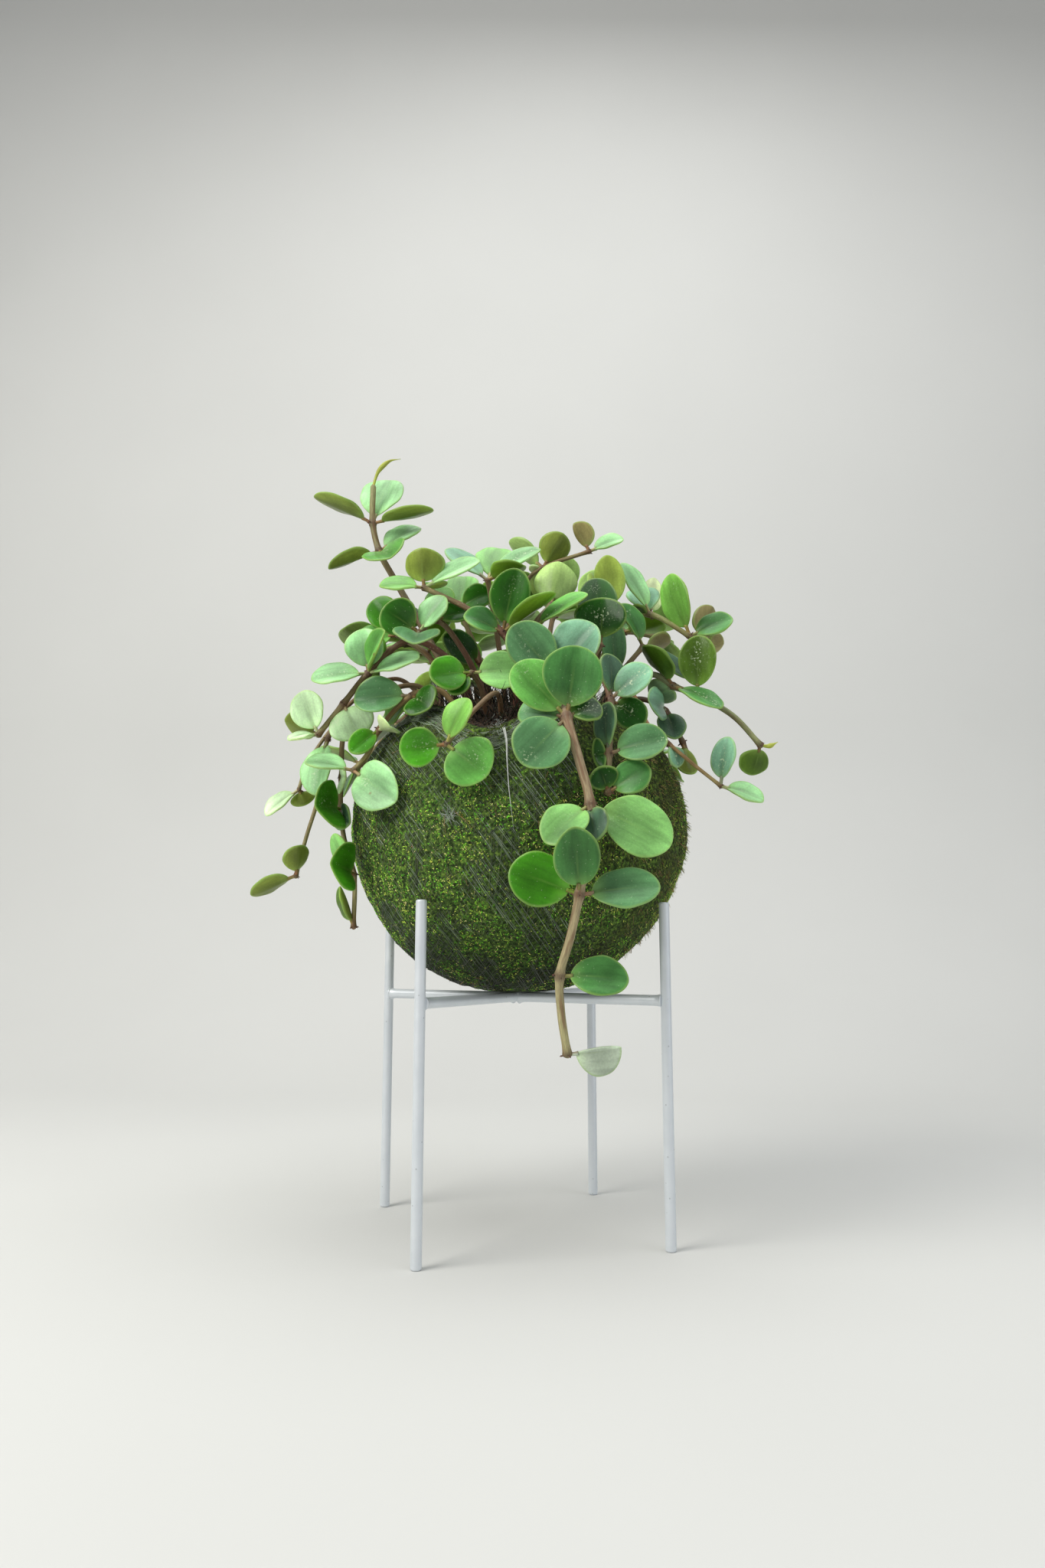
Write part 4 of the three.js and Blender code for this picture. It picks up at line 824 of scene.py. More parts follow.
def make_piece(name, parts, materials, nodes=(), smooth=True):
    """One mesh object of parts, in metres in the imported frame. It rides on the body and stands for its
    nodes."""
    starts = np.cumsum([0] + [len(part["points"]) for part in parts])
    points = np.concatenate([part["points"] for part in parts])
    corners, totals, material_numbers = [], [], []
    for part, start in zip(parts, starts):
        for faces in (part["quads"], part["triangles"]):
            corners.append((faces + start).ravel())
            totals.append(np.full(len(faces), faces.shape[1]))
            material_numbers.append(np.full(len(faces), part["material"]))
    corners, totals = np.concatenate(corners), np.concatenate(totals)
    mesh = bpy.data.meshes.new(name)
    mesh.vertices.add(len(points))
    mesh.vertices.foreach_set("co", ((points + AXIS) / 1000).astype(np.float32).ravel())
    mesh.loops.add(len(corners))
    mesh.loops.foreach_set("vertex_index", corners.astype(np.int32))
    mesh.polygons.add(len(totals))
    mesh.polygons.foreach_set("loop_start", (np.cumsum(totals) - totals).astype(np.int32))
    mesh.polygons.foreach_set("material_index", np.concatenate(material_numbers).astype(np.int32))
    mesh.polygons.foreach_set("use_smooth", np.full(len(totals), smooth))
    for material in materials:
        mesh.materials.append(material)
    mesh.update(calc_edges=True)
    add_values(mesh, parts)
    piece = bpy.data.objects.new(name, mesh)
    bpy.context.scene.collection.objects.link(piece)
    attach(piece, "root")
    if nodes:
        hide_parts(*nodes)
    return piece


def add_values(mesh, parts):
    """Puts the parts' values into the mesh, with zeros for a part that lacks one."""
    samples = {name: value for part in parts for name, value in part["values"].items()}
    for name, sample in samples.items():
        blank = [np.zeros((len(part["points"]),) + sample.shape[1:]) for part in parts]
        whole = np.concatenate([part["values"].get(name, zero) for part, zero in zip(parts, blank)])
        if sample.ndim == 1:
            mesh.attributes.new(name, "FLOAT", "POINT").data.foreach_set("value", whole.astype(np.float32))
        elif name in COLOUR_VALUES:
            coloured = np.concatenate([whole, np.ones((len(whole), 1))], axis=1)
            attribute = mesh.attributes.new(name, "FLOAT_COLOR", "POINT")
            attribute.data.foreach_set("color", coloured.astype(np.float32).ravel())
        else:
            attribute = mesh.attributes.new(name, "FLOAT_VECTOR", "POINT")
            attribute.data.foreach_set("vector", whole.astype(np.float32).ravel())


def lump_noise(points, cell, seed):
    """Smooth noise from -1 to 1: random values at the corners of cubes of the given size, blended between
    them."""
    table = np.random.default_rng(seed).uniform(-1, 1, (NOISE_CELLS,) * 3)
    place = points / cell
    low = np.floor(place).astype(int)
    share = place - low
    share = share * share * (3 - 2 * share)
    total = np.zeros(points.shape[:-1])
    for corner in np.ndindex(2, 2, 2):
        weight = np.prod(np.where(corner, share, 1 - share), axis=-1)
        x, y, z = np.moveaxis((low + corner) % NOISE_CELLS, -1, 0)
        total += weight * table[x, y, z]
    return total


def smooth_step(values, low, high):
    """0 below low, 1 above high and a smooth rise between."""
    share = np.clip((values - low) / (high - low), 0, 1)
    return share * share * (3 - 2 * share)


# Leaves and stems

LEAF_ROWS = 22
LEAF_SIDES = 24
LEAF_THICKNESS = 2.3
RIM_FULLNESS = 0.56                   # a low power keeps the blade thick up to its rounded rim
RIB_FOLD = 0.25                       # depth of the groove along the middle
RIB_WIDTH = 0.13                      # of the half-width
CREASE_WIDTH = 0.08                   # of the half-width, over which the fold along the middle is rounded
BASE_FOLD = 0.11                      # how far a blade is folded at its stalk, as a share of its width
EDGE_WAVE = 0.018                     # waviness of the edge, as a share of the width
EDGE_WAVES = ((1.3, 1), (2.4, 0.6))   # how many waves there are along a leaf, and how high they are
UNEVEN_HALVES = 0.025                 # how much wider or narrower than the outline each half is in places
END_POWER = 0.4                       # a low power keeps the blade thick up to its two ends
LEAF_SHADES = (0.92, 1.08)            # how much lighter or darker a leaf is than its tone
OUTLINE_STEPS = 48

STEM_SIDES = 12
STEM_STEP = 1.5
STEM_TIP = 1.5                        # how far a stem goes on past its last node
TIP_SHARES = np.array([0.4, 0.75, 0.93, 1.0])
STEM_SINK = 3                         # how far the foot goes on into the soil
NODE_SWELL = 0.42                     # how much thicker a stem is at a node
NODE_LENGTH = 2.2
NODE_GROOVE = 0.1                     # depth of the ring on both sides of a node, over the radius
GROOVE_PLACE = 1.5
GROOVE_LENGTH = 0.7
NODE_DARK = 0.75                      # how dark the bark is at a node
STEM_TAPER = (1.02, 0.22)             # radius at the foot, and how much it loses, over the stem's radius
PETIOLE_RADIUS = 0.85
PETIOLE_ROWS = 6
PETIOLE_SIDES = 8
PETIOLE_SUNK = 1.2                    # how far it goes on into the blade
PETIOLE_FLARE = 0.35                  # how much thicker it is at its ends
PETIOLE_FLUSH = (0.1, 1)              # how red it is at the stem, least and most
PETIOLE_FADE = 0.55                   # share of that red which is lost at the blade
SCALE_COUNT = 5                       # small brown scales round each node
SCALE_REACH = (1.0, 2.2)
SCALE_SIZE = (0.55, 0.4)              # width and thickness over the length
SCALE_LEAN = (0.1, 0.9)               # how far it leans along the stem
SCALE_PLACE = 0.9                     # how far out it is rooted, over the stem's radius
SCALE_SHADES = (0.8, 1.7)
SHOOT_STEP = 0.7                      # between the rings of a shoot
SHOOT_RADIUS = 0.75
SHOOT_SWELL = (0.55, 0.55, 0.2)       # millimetres that it swells by, and where and how long, over its length
SHOOT_TIP = 0.6                       # how much thinner it is at its tip
CURVE_STEPS = 24


def stacked(leaves, key):
    """One value of every leaf, as an array."""
    return np.array([leaf[key] for leaf in leaves], float)


def edge_distance(forward, sideways, length, width):
    """Distance in millimetres from points of each leaf's plane to its outline, found against points of the
    outline."""
    share = (1 - np.cos(np.pi * np.arange(OUTLINE_STEPS) / (OUTLINE_STEPS - 1))) / 2
    rim_forward = share * length[:, None]
    rim_sideways = leaf_outline(share) * width[:, None] / 2
    away = np.hypot(forward[..., None] - rim_forward[:, None, None],
                    np.abs(sideways)[..., None] - rim_sideways[:, None, None])
    return away.min(axis=-1)


def middle_height(half, side, share, phase, width, length, cup, droop):
    """Height of a blade's middle surface over its plane. It droops as the part's does, and rises by the
    part's cup, but in proportion to the distance from a rounded fold. It has a groove along its middle, is
    folded up at its stalk, and its edge is gently waved."""
    folded = np.sqrt(half ** 2 + CREASE_WIDTH ** 2) - CREASE_WIDTH
    height = cup * width * folded - droop * length * share ** 2
    height = height - RIB_FOLD * np.exp(-(half / RIB_WIDTH) ** 2) * (1 - share ** 2)
    height = height + BASE_FOLD * width * np.abs(half) * (1 - share) ** 2
    (slow, slow_height), (quick, quick_height) = EDGE_WAVES
    wave = slow_height * np.sin(2 * np.pi * slow * share + phase[1])
    wave = wave + quick_height * np.sin(2 * np.pi * quick * share * side + phase[2])
    return height + EDGE_WAVE * width * half ** 2 * wave


def blade_part(leaves, rng):
    """The blades of a batch of leaves. Each is a flat tube from its base to its tip: at a share of its
    length, and an angle round its section, the side is the angle's cosine, and the surface lies over or
    under the middle surface by the sine to a low power."""
    count = len(leaves)
    width, length, petiole = (stacked(leaves, key)[:, None, None] for key in ("width", "length", "petiole"))
    cup, droop = (stacked(leaves, key)[:, None, None] for key in ("cup", "droop"))
    share = ((1 - np.cos(np.pi * np.arange(1, LEAF_ROWS + 1) / (LEAF_ROWS + 1))) / 2)[None, :, None]
    angle = turn_angles(LEAF_SIDES)[None, None, :]
    side = np.cos(angle)
    phase = rng.uniform(0, 2 * np.pi, (3, count, 1, 1))
    bulge = 1 + UNEVEN_HALVES * np.sin(2 * np.pi * share + phase[0]) * np.sign(side)
    half = side * leaf_outline(share) * bulge * half_kept(stacked(leaves, "folded")[:, None, None], side)
    middle = middle_height(half, side, share, phase, width, length, cup, droop)
    fullness = np.sin(np.pi * share) ** END_POWER
    over = np.sign(np.sin(angle)) * np.abs(np.sin(angle)) ** RIM_FULLNESS * fullness * LEAF_THICKNESS / 2
    forward = petiole + share * length + 0 * half
    sideways = half * width / 2
    frames = {key: stacked(leaves, key)[:, None, None] for key in ("node", "along", "across", "face")}

    def placed(forward, sideways, height):
        """Points so far along each leaf, sideways from its middle and over its plane."""
        return (frames["node"] + forward[..., None] * frames["along"] + sideways[..., None] * frames["across"]
                + height[..., None] * frames["face"])

    rings = placed(forward, sideways, middle + over)
    ends = np.array([0.0, 1.0])[None, :, None]
    ends_height = -droop * length * ends ** 2 - RIB_FOLD * (1 - ends ** 2)
    poles = placed(petiole + ends * length, 0 * ends * length, ends_height)[:, :, 0]
    rim = edge_distance(share * length + 0 * half, sideways, length[:, 0, 0], width[:, 0, 0])
    own = np.stack([forward, sideways, over + 0 * half], axis=-1)
    tones = np.array([palette(TONES[leaf["tone"]]) for leaf in leaves])
    tones = tones * rng.uniform(*LEAF_SHADES, (count, 1, 1))
    # A painted sweep from light to shade across each leaf, from a side drawn at random: it stands in for the
    # soft fall of light over the blade.
    lit = rng.uniform(0, 2 * np.pi, (count, 1, 1))
    glow = np.cos(lit) * (2 * share - 1) + np.sin(lit) * half
    shape = (count, LEAF_ROWS, LEAF_SIDES)
    return ring_part(rings, poles, 0,
                     own_place=own,
                     tone=np.broadcast_to(tones[:, None, None, 0], shape + (3,)),
                     under_tone=np.broadcast_to(tones[:, None, None, 1], shape + (3,)),
                     rim=rim,
                     glow=glow,
                     side=np.broadcast_to(side, shape),
                     share=np.broadcast_to(share, shape),
                     upper=np.broadcast_to(np.sin(angle), shape))


def petiole_part(leaves, rng):
    """The stalks of a batch of leaves: a straight tube from the node into the blade, a little thicker at its
    ends."""
    share = np.linspace(0, 1, PETIOLE_ROWS)
    reach = stacked(leaves, "petiole") + PETIOLE_SUNK
    paths = (stacked(leaves, "node")[:, None]
             + (share * reach[:, None])[..., None] * stacked(leaves, "along")[:, None])
    radii = PETIOLE_RADIUS * (1 + PETIOLE_FLARE * (2 * share - 1) ** 2)
    redness = rng.uniform(*PETIOLE_FLUSH, (len(leaves), 1, 1)) * (1 - PETIOLE_FADE * share)[:, None]
    leaf_tone = palette([TONES[leaf["tone"]][1] for leaf in leaves])[:, None, None]
    tone = leaf_tone * (1 - redness[..., None]) + to_linear(PETIOLE_RED) * redness[..., None]
    shape = (len(leaves), PETIOLE_ROWS, PETIOLE_SIDES, 3)
    return tubes(paths, np.broadcast_to(radii, paths.shape[:2]), PETIOLE_SIDES, stacked(leaves, "face"), 1,
                 tone=np.broadcast_to(tone, shape))


def smooth_path(points, step):
    """Points at even distances on the centripetal Catmull-Rom curve through the given ones, and the distance
    along it of each given one."""
    ends = [2 * points[0] - points[1], *points, 2 * points[-1] - points[-2]]
    places = [points[:1]]
    share = (np.arange(1, CURVE_STEPS + 1) / CURVE_STEPS)[:, None]
    for before, start, end, after in zip(ends, ends[1:], ends[2:], ends[3:]):
        spans = [np.linalg.norm(b - a) ** 0.5 for a, b in ((before, start), (start, end), (end, after))]
        leaving = ((start - before) / spans[0] - (end - before) / (spans[0] + spans[1])
                   + (end - start) / spans[1]) * spans[1]
        arriving = ((end - start) / spans[1] - (after - start) / (spans[1] + spans[2])
                    + (after - end) / spans[2]) * spans[1]
        places.append(start + leaving * share + (3 * (end - start) - 2 * leaving - arriving) * share ** 2
                      + (2 * (start - end) + leaving + arriving) * share ** 3)
    places = np.concatenate(places)
    distance = np.append(0, np.linalg.norm(np.diff(places, axis=0), axis=-1).cumsum())
    even = np.linspace(0, distance[-1], int(np.ceil(distance[-1] / step)) + 1)
    path = np.stack([np.interp(even, distance, places[:, axis]) for axis in range(3)], axis=-1)
    return path, even, distance[::CURVE_STEPS]


def flat_normal(path):
    """The direction square to the plane that a path lies nearest to, and so never along it."""
    return np.linalg.svd(path - path.mean(axis=0))[2][2]


def rounded_ends(distance, radius):
    """A share that rises from a little to 1 over one radius at each end, as a quarter circle does."""
    from_end = np.minimum(distance - distance[0], distance[-1] - distance) / radius
    inward = np.clip(1 - from_end, 0, 1)
    return np.sqrt(np.clip(1 - inward ** 2, 0.04, 1))


def stem_part(stem, leaves):
    """A stem along its curve. Its radius falls evenly towards its tip, and swells at each node by a bell
    curve with a groove beside it, where the leaf scar runs round. Its bark is darker at the nodes and greener
    towards the tip."""
    path, distance, knots = smooth_path(stem["points"], STEM_STEP)
    foot = path[:1] - unit(path[1] - path[0]) * STEM_SINK
    tip = path[-1] + unit(path[-1] - path[-2]) * STEM_TIP * TIP_SHARES[:, None]
    path = np.concatenate([foot, path, tip])
    distance = np.concatenate([[-STEM_SINK], distance, distance[-1] + STEM_TIP * TIP_SHARES])
    nodes = knots[sorted({leaf["at"] for leaf in leaves})]
    away = np.abs(distance[:, None] - nodes)
    swell = np.exp(-(away / NODE_LENGTH) ** 2).sum(axis=1)
    groove = np.exp(-((away - GROOVE_PLACE) / GROOVE_LENGTH) ** 2).sum(axis=1)
    share = np.clip(distance / distance[-1], 0, 1)
    at_foot, lost = STEM_TAPER
    radii = stem["radius"] * (at_foot - lost * share) * (1 + NODE_SWELL * swell - NODE_GROOVE * groove)
    radii = radii * rounded_ends(distance, stem["radius"])
    bark = to_linear(BARK.get(stem["name"], BARK_ELSEWHERE))
    dark = np.clip(NODE_DARK * swell, 0, 1)[:, None]
    young = YOUNG_BARK * share[:, None] ** 3
    tone = bark * (1 - young) + to_linear(YOUNG_GREEN) * young
    tone = tone * (1 - dark) + to_linear(NODE_BARK) * dark
    shape = (1, len(path), STEM_SIDES, 3)
    return tubes(path[None], radii[None], STEM_SIDES, flat_normal(path)[None], 1,
                 tone=np.broadcast_to(tone[None, :, None], shape))


def shoot_part(stem):
    """The young end of a stem: a thin stalk that swells by a bell curve into a folded young leaf, and runs
    out to a point by a smooth step."""
    path, distance, _ = smooth_path(np.array([stem["points"][-1], *stem["shoot"]]), SHOOT_STEP)
    share = distance / distance[-1]
    swell, place, spread = SHOOT_SWELL
    radii = SHOOT_RADIUS + swell * np.exp(-((share - place) / spread) ** 2)
    radii = radii - SHOOT_TIP * smooth_step(share, place, 1)
    shape = (1, len(path), STEM_SIDES, 3)
    return tubes(path[None], radii[None], STEM_SIDES, flat_normal(path)[None], 1,
                 tone=np.broadcast_to(to_linear(SPROUT_GREEN), shape))


# A leaflet has six points: its base, its tip, and one on each side, over and under its middle

LEAFLET_FACES = np.array([[1, 2, 4], [2, 0, 4], [0, 3, 4], [3, 1, 4],
                          [2, 1, 5], [0, 2, 5], [3, 0, 5], [1, 3, 5]])
LEAFLET_MIDDLE = 0.45                 # how far along a leaflet its widest place is


def leaflets(bases, directions, normals, lengths, widths, thicknesses, tone, material=0):
    """A batch of small pointed scales: each runs from its base in its direction, and is widest near its
    middle."""
    face = square_to(normals, directions)
    side = np.cross(face, directions)
    middle = bases + directions * lengths[:, None] * LEAFLET_MIDDLE
    points = np.stack([bases, bases + directions * lengths[:, None],
                       middle + side * widths[:, None] / 2, middle - side * widths[:, None] / 2,
                       middle + face * thicknesses[:, None] / 2,
                       middle - face * thicknesses[:, None] / 2], axis=1)
    values = {"tone": np.repeat(tone, 6, axis=0)}
    return {"points": points.reshape(-1, 3), "quads": np.zeros((0, 4), int),
            "triangles": copied(LEAFLET_FACES, len(bases), 6), "material": material, "values": values}


def node_scales(stem, leaves, rng):
    """Small brown scales and buds that stand round each node that carries leaves."""
    nodes = sorted({leaf["at"] for leaf in leaves})
    centres = np.repeat(stem["points"][nodes], SCALE_COUNT, axis=0)
    onward = np.array([stem["points"][at] - stem["points"][at - 1] for at in nodes])
    along = np.repeat(unit(onward), SCALE_COUNT, axis=0)
    outward = square_to(rng.normal(size=centres.shape), along)
    directions = unit(outward + along * rng.uniform(*SCALE_LEAN, (len(centres), 1)))
    lengths = rng.uniform(*SCALE_REACH, len(centres))
    tone = to_linear(NODE_BARK) * rng.uniform(*SCALE_SHADES, (len(centres), 1))
    width, thickness = SCALE_SIZE
    bases = centres + outward * stem["radius"] * SCALE_PLACE
    return leaflets(bases, directions, along, lengths, lengths * width, lengths * thickness, tone, 1)


def grown_piece(stem, leaves, materials, rng):
    """One stem with its leaves, their stalks, its scales and its young end, in place of its solid."""
    parts = [blade_part(leaves, rng), petiole_part(leaves, rng), stem_part(stem, leaves),
             node_scales(stem, leaves, rng)]
    if len(stem["shoot"]):
        parts.append(shoot_part(stem))
    return make_piece(f"{stem['name']}_grown", parts, materials, [stem["name"]])


def tone_leaves(stems, leaves, rng):
    """Gives each leaf its tone: the one that is written for a seen leaf, and a drawn one for the others."""
    for leaf in leaves:
        name = stems[leaf["stem"]]["name"]
        seen = LEAF_TONES[name].split() if name in LEAF_TONES else None
        leaf["tone"] = seen[leaf["order"]] if seen else str(rng.choice(BACK_TONES))


# The moss ball

MOSS_SIDES = 360
MOSS_ROWS = 130
LIP_ROWS = 5
INSIDE_ROWS = 10
PAD_SIZE = 7                          # millimetres across the soft pads of moss between the threads
PAD_HEIGHT = 0.6
TUFT_SIZE = 2.6
TUFT_HEIGHT = 0.4
MOUTH_RAGGED = 1.6                    # degrees that the torn edge of the mouth wanders by
MOUTH_RING = 60                       # radius of the ring on which that noise is read
MOUTH_GRAIN = 4
LIP_CREST = (1, 0.3)                  # degrees that it lies over the edge, and millimetres out of the ball
SHADED_FOOT_HEIGHTS = (118, 154)             # painted shade: the moss is made darker at its foot, where shade falls under the ball
FOOT_SHADE = 0.75
SPRIG_FOOT_SHADE = 0.5                     # the leaflets there take less of that painted shade


def ball_points(down, around, out):
    """Points of the ball at angles down from its top and round from +X, set in or out by an amount."""
    return np.stack([BALL_CENTRE[0] + (BALL_RADIUS + out) * np.sin(down) * np.cos(around),
                     BALL_CENTRE[1] + (BALL_RADIUS + out) * np.sin(down) * np.sin(around),
                     BALL_CENTRE[2] + (BALL_HALF_HEIGHT + out) * np.cos(down)], axis=-1)


def mouth_angle(around):
    """Angle down from the top at which the mouth opens: even, with a bell-shaped dip at the front."""
    turns = around / (2 * np.pi) - MOUTH_DIP_AT / 360
    away = 360 * (turns - np.round(turns))
    return np.radians(MOUTH_ANGLE + MOUTH_DIP * np.exp(-(away / MOUTH_DIP_WIDTH) ** 2))


def mouth_wave(around):
    """The ragged edge of the moss wanders up and down round the mouth: two sines of the part, and fine
    noise."""
    wave = 1.4 * np.sin(3 * around + 0.7) + np.sin(7 * around + 2.1)
    ring = flat_directions(around) * MOUTH_RING
    return np.radians(wave + MOUTH_RAGGED * lump_noise(ring, MOUTH_GRAIN, 3))


def moss_relief(down, around):
    """Height of the moss over the plain ball: the part's windings and lumps, with pads and tufts of noise."""
    first = np.sin(4 * around + 5 * down)
    second = np.sin(5 * around - 4 * down + 1.3)
    lumps = np.sin(3 * around + 2 * np.sin(3 * down)) * np.sin(4 * down + 0.6)
    plain = ball_points(down, around, 0)
    fine = PAD_HEIGHT * lump_noise(plain, PAD_SIZE, 1) + TUFT_HEIGHT * lump_noise(plain, TUFT_SIZE, 2)
    return np.sin(down) * (0.7 * first + 0.6 * second + 0.8 * lumps) - 0.9 + fine


def moss_points(down, around, out=0.0):
    """Points on the moss, or over it by an amount, kept on the bars that it rests on."""
    points = ball_points(down, around, moss_relief(down, around) + out)
    points[..., 2] = np.maximum(points[..., 2], SEAT_HEIGHT)
    return points


def wound_moss():
    """The moss as one closed shell: rows up its outside from its resting point to the mouth, over its lip on
    a quadratic curve, and down its inside."""
    around = turn_angles(MOSS_SIDES)
    edge = mouth_angle(around) + mouth_wave(around)
    share = (np.arange(1, MOSS_ROWS + 1) / MOSS_ROWS)[:, None]
    outer_edge = edge + np.radians(LIP_OUTSIDE)
    outside = moss_points(np.pi - (np.pi - outer_edge) * share, around)
    over_edge, out = LIP_CREST
    crest = ball_points(edge - np.radians(over_edge), around, out)
    inner_edge = mouth_angle(around) + np.radians(LIP_INSIDE)
    fold = (np.arange(1, LIP_ROWS + 1) / LIP_ROWS)[:, None, None]
    inner = ball_points(inner_edge, around, -MOSS_THICKNESS)
    lip = outside[-1] * (1 - fold) ** 2 + crest * 2 * fold * (1 - fold) + inner * fold ** 2
    row = (np.arange(1, INSIDE_ROWS) / INSIDE_ROWS)[:, None]
    inside = ball_points(inner_edge + (np.pi - inner_edge) * row, around, -MOSS_THICKNESS)
    rings = np.concatenate([outside, lip, inside])[None]
    bottom = BALL_CENTRE - [0, 0, BALL_HALF_HEIGHT - MOSS_THICKNESS]
    poles = np.array([[[BALL_CENTRE[0], BALL_CENTRE[1], SEAT_HEIGHT], bottom]])
    return ring_part(rings, poles)


def damp_level(height, dampness):
    """Painted shade by height: how light the moss is made, less at the foot of the ball, by a smooth step."""
    return 1 - dampness * (1 - smooth_step(height, *SHADED_FOOT_HEIGHTS))


# Sprigs: little tufts of leaflets all over the moss, bright where it grows and brown where it has dried

BRIGHT_SPRIGS = 22000
DULL_SPRIGS = 8000
SPRIG_LEAFLETS = 2
SPRIG_PATCH = 15                      # millimetres across a patch of growing moss
SPRIG_REACH = (0.5, 1.35)
SPRIG_SHAPE = (0.28, 0.22, 0.4)       # half its width, its thickness, and where that is, over its length
SPRIG_SINK = 0.25                     # how deep it is rooted
SPRIG_CHOICE = 4                      # places that are drawn for each one that is used
SPRIG_LUCK = 0.75                     # how much chance counts in that choice
SPRIG_SHADES = (0.75, 1.25)
# Live moss greens and yellows, brightened beyond the moss's own colour as painted light; the palest are
# painted glints.
BRIGHT_AND_GLINT_TONES = ["#409420", "#70dc30", "#8aee3c", "#a8f648", "#ccfa5c", "#ecfa70", "#4c9430", "#faf69c"]
DULL_TONES = ["#10190a", "#1c2c14", "#2c421a", "#465a28", "#5a5a32", "#403c26"]
ORANGE_BIT = "#c9672a"
ORANGE_SHARE = 0.004
LEANING = (0.05, 0.7)                 # how far a leaflet rises for each length that it runs along the ball
RAISED_EDGE = 1.6                     # how much more the leaflets stand up on the shaggy right side
BROWNED = 0.75                        # how brown they are there at the most
BROWNED_TONE = "#8a8248"

# The two kinds of sprig: the name of the piece, its tones, whether it stands where moss grows well, and how
# many there are

SPRIG_KINDS = [
    ("growing_moss_sprigs", BRIGHT_AND_GLINT_TONES, True, BRIGHT_SPRIGS),
    ("dried_moss_sprigs", DULL_TONES, False, DULL_SPRIGS),
]

# How well the moss grows: the gain from patches of noise, the losses at the right and towards the top, and
#  the gain low at the left, which also paints more bright moss where the light falls on the lower left

PATCHES_GAIN = 0.9
RIGHT_LOSS = 0.1
TOP_LOSS = 0.85
LOW_LEFT_GROWTH_AND_LIGHT = 0.4
SHAGGY_SIDE = (0.35, 0.9)             # how far to the right the moss starts to be loose, and is all loose
GROWN_BELOW = 1.5                     # degrees under the mouth's edge at which things start to grow
GROWN_DOWN_TO = 168                   # degrees down from the top at which they end


def even_places(count, rng):
    """Angles of random places, even over the ball, from under the mouth's edge down to a lowest angle."""
    around = rng.uniform(0, 2 * np.pi, count)
    edge = mouth_angle(around) + mouth_wave(around) + np.radians(GROWN_BELOW)
    down = np.arccos(rng.uniform(np.cos(np.radians(GROWN_DOWN_TO)), np.cos(edge)))
    return down, around


def outward_normals(down, around):
    """Unit directions out of the ball."""
    return np.stack([np.sin(down) * np.cos(around), np.sin(down) * np.sin(around), np.cos(down)], axis=-1)


def growth(places):
    """How well the moss grows at a place, from about -1 to 1: patches of noise, best low at the left, which
    is partly painted light on the lit lower left, and poor at the right and round the mouth."""
    patches = lump_noise(places, SPRIG_PATCH, 5) + 0.5 * lump_noise(places, SPRIG_PATCH / 3, 6)
    sideways = (places[..., 0] - BALL_CENTRE[0]) / BALL_RADIUS
    upward = (places[..., 2] - BALL_CENTRE[2]) / BALL_HALF_HEIGHT
    # The gain low at the left partly paints more bright moss where the light falls on the ball's lower left.
    low_left = smooth_step(-sideways, 0.45, 0.85) * smooth_step(-upward, -0.25, 0.15)
    return (PATCHES_GAIN * patches - RIGHT_LOSS * smooth_step(sideways, 0.3, 0.9)
            - TOP_LOSS * smooth_step(upward, 0.0, 0.6) + LOW_LEFT_GROWTH_AND_LIGHT * low_left)


def shagginess(normals):
    """How loose the moss is on the side that faces a way: none at the left, and all of it at the right."""
    return smooth_step(normals[..., 0], *SHAGGY_SIDE)


# A small leaflet has four points: two at its base, its tip, and one over its base

SPRIG_FACES = np.array([[0, 2, 1], [1, 2, 3], [2, 0, 3], [0, 1, 3]])


def sprigs(tones, bright, sprig_count, rng):
    """Tufts of leaflets at places chosen by growth. Each leaflet is a thin pointed wedge that leans out from
    the middle of its tuft, and it stands up more on the shaggy side."""
    down, around = even_places(sprig_count * SPRIG_CHOICE, rng)
    score = growth(ball_points(down, around, 0)) * (1 if bright else -1)
    score = score + rng.uniform(-SPRIG_LUCK, SPRIG_LUCK, len(down))
    chosen = np.argsort(-score, kind="stable")[:sprig_count]
    down, around = (np.repeat(angles[chosen], SPRIG_LEAFLETS) for angles in (down, around))
    normals = outward_normals(down, around)
    forward = square_to(rng.normal(size=normals.shape), normals)
    lift = rng.uniform(*LEANING, (len(down), 1)) * (1 + RAISED_EDGE * shagginess(normals)[:, None])
    along = unit(forward + normals * lift)
    sideways = np.cross(along, normals)
    length = rng.uniform(*SPRIG_REACH, (len(down), 1))
    bases = moss_points(down, around, -SPRIG_SINK)
    over = np.cross(sideways, along)
    half_width, thickness, thickest = SPRIG_SHAPE
    points = np.stack([bases - sideways * length * half_width, bases + sideways * length * half_width,
                       bases + along * length,
                       bases + over * length * thickness + along * length * thickest], axis=1)
    codes = [*tones, ORANGE_BIT]
    share = (1 - ORANGE_SHARE) / len(tones)
    pick = rng.choice(len(codes), sprig_count, p=[share] * len(tones) + [ORANGE_SHARE])
    tone = palette(codes)[np.repeat(pick, SPRIG_LEAFLETS)]
    tone = tone * rng.uniform(*SPRIG_SHADES, (len(down), 1))
    browned = BROWNED * rng.uniform(0, 1, (len(down), 1)) * shagginess(normals)[:, None]
    tone = tone * (1 - browned) + to_linear(BROWNED_TONE) * browned
    # Painted shade: darker towards the foot of the ball.
    tone = tone * damp_level(bases[:, 2:], SPRIG_FOOT_SHADE)
    return {"points": points.reshape(-1, 3), "quads": np.zeros((0, 4), int),
            "triangles": copied(SPRIG_FACES, len(down), 4), "material": 0,
            "values": {"tone": np.repeat(tone, 4, axis=0)}}


# Thread: loops wound round the ball in a few sets. The loops of a set lie in planes side by side, so they
# look like parallel lines. Each set has the direction square to its planes, the number of its loops, and the
# darkest and palest of them.

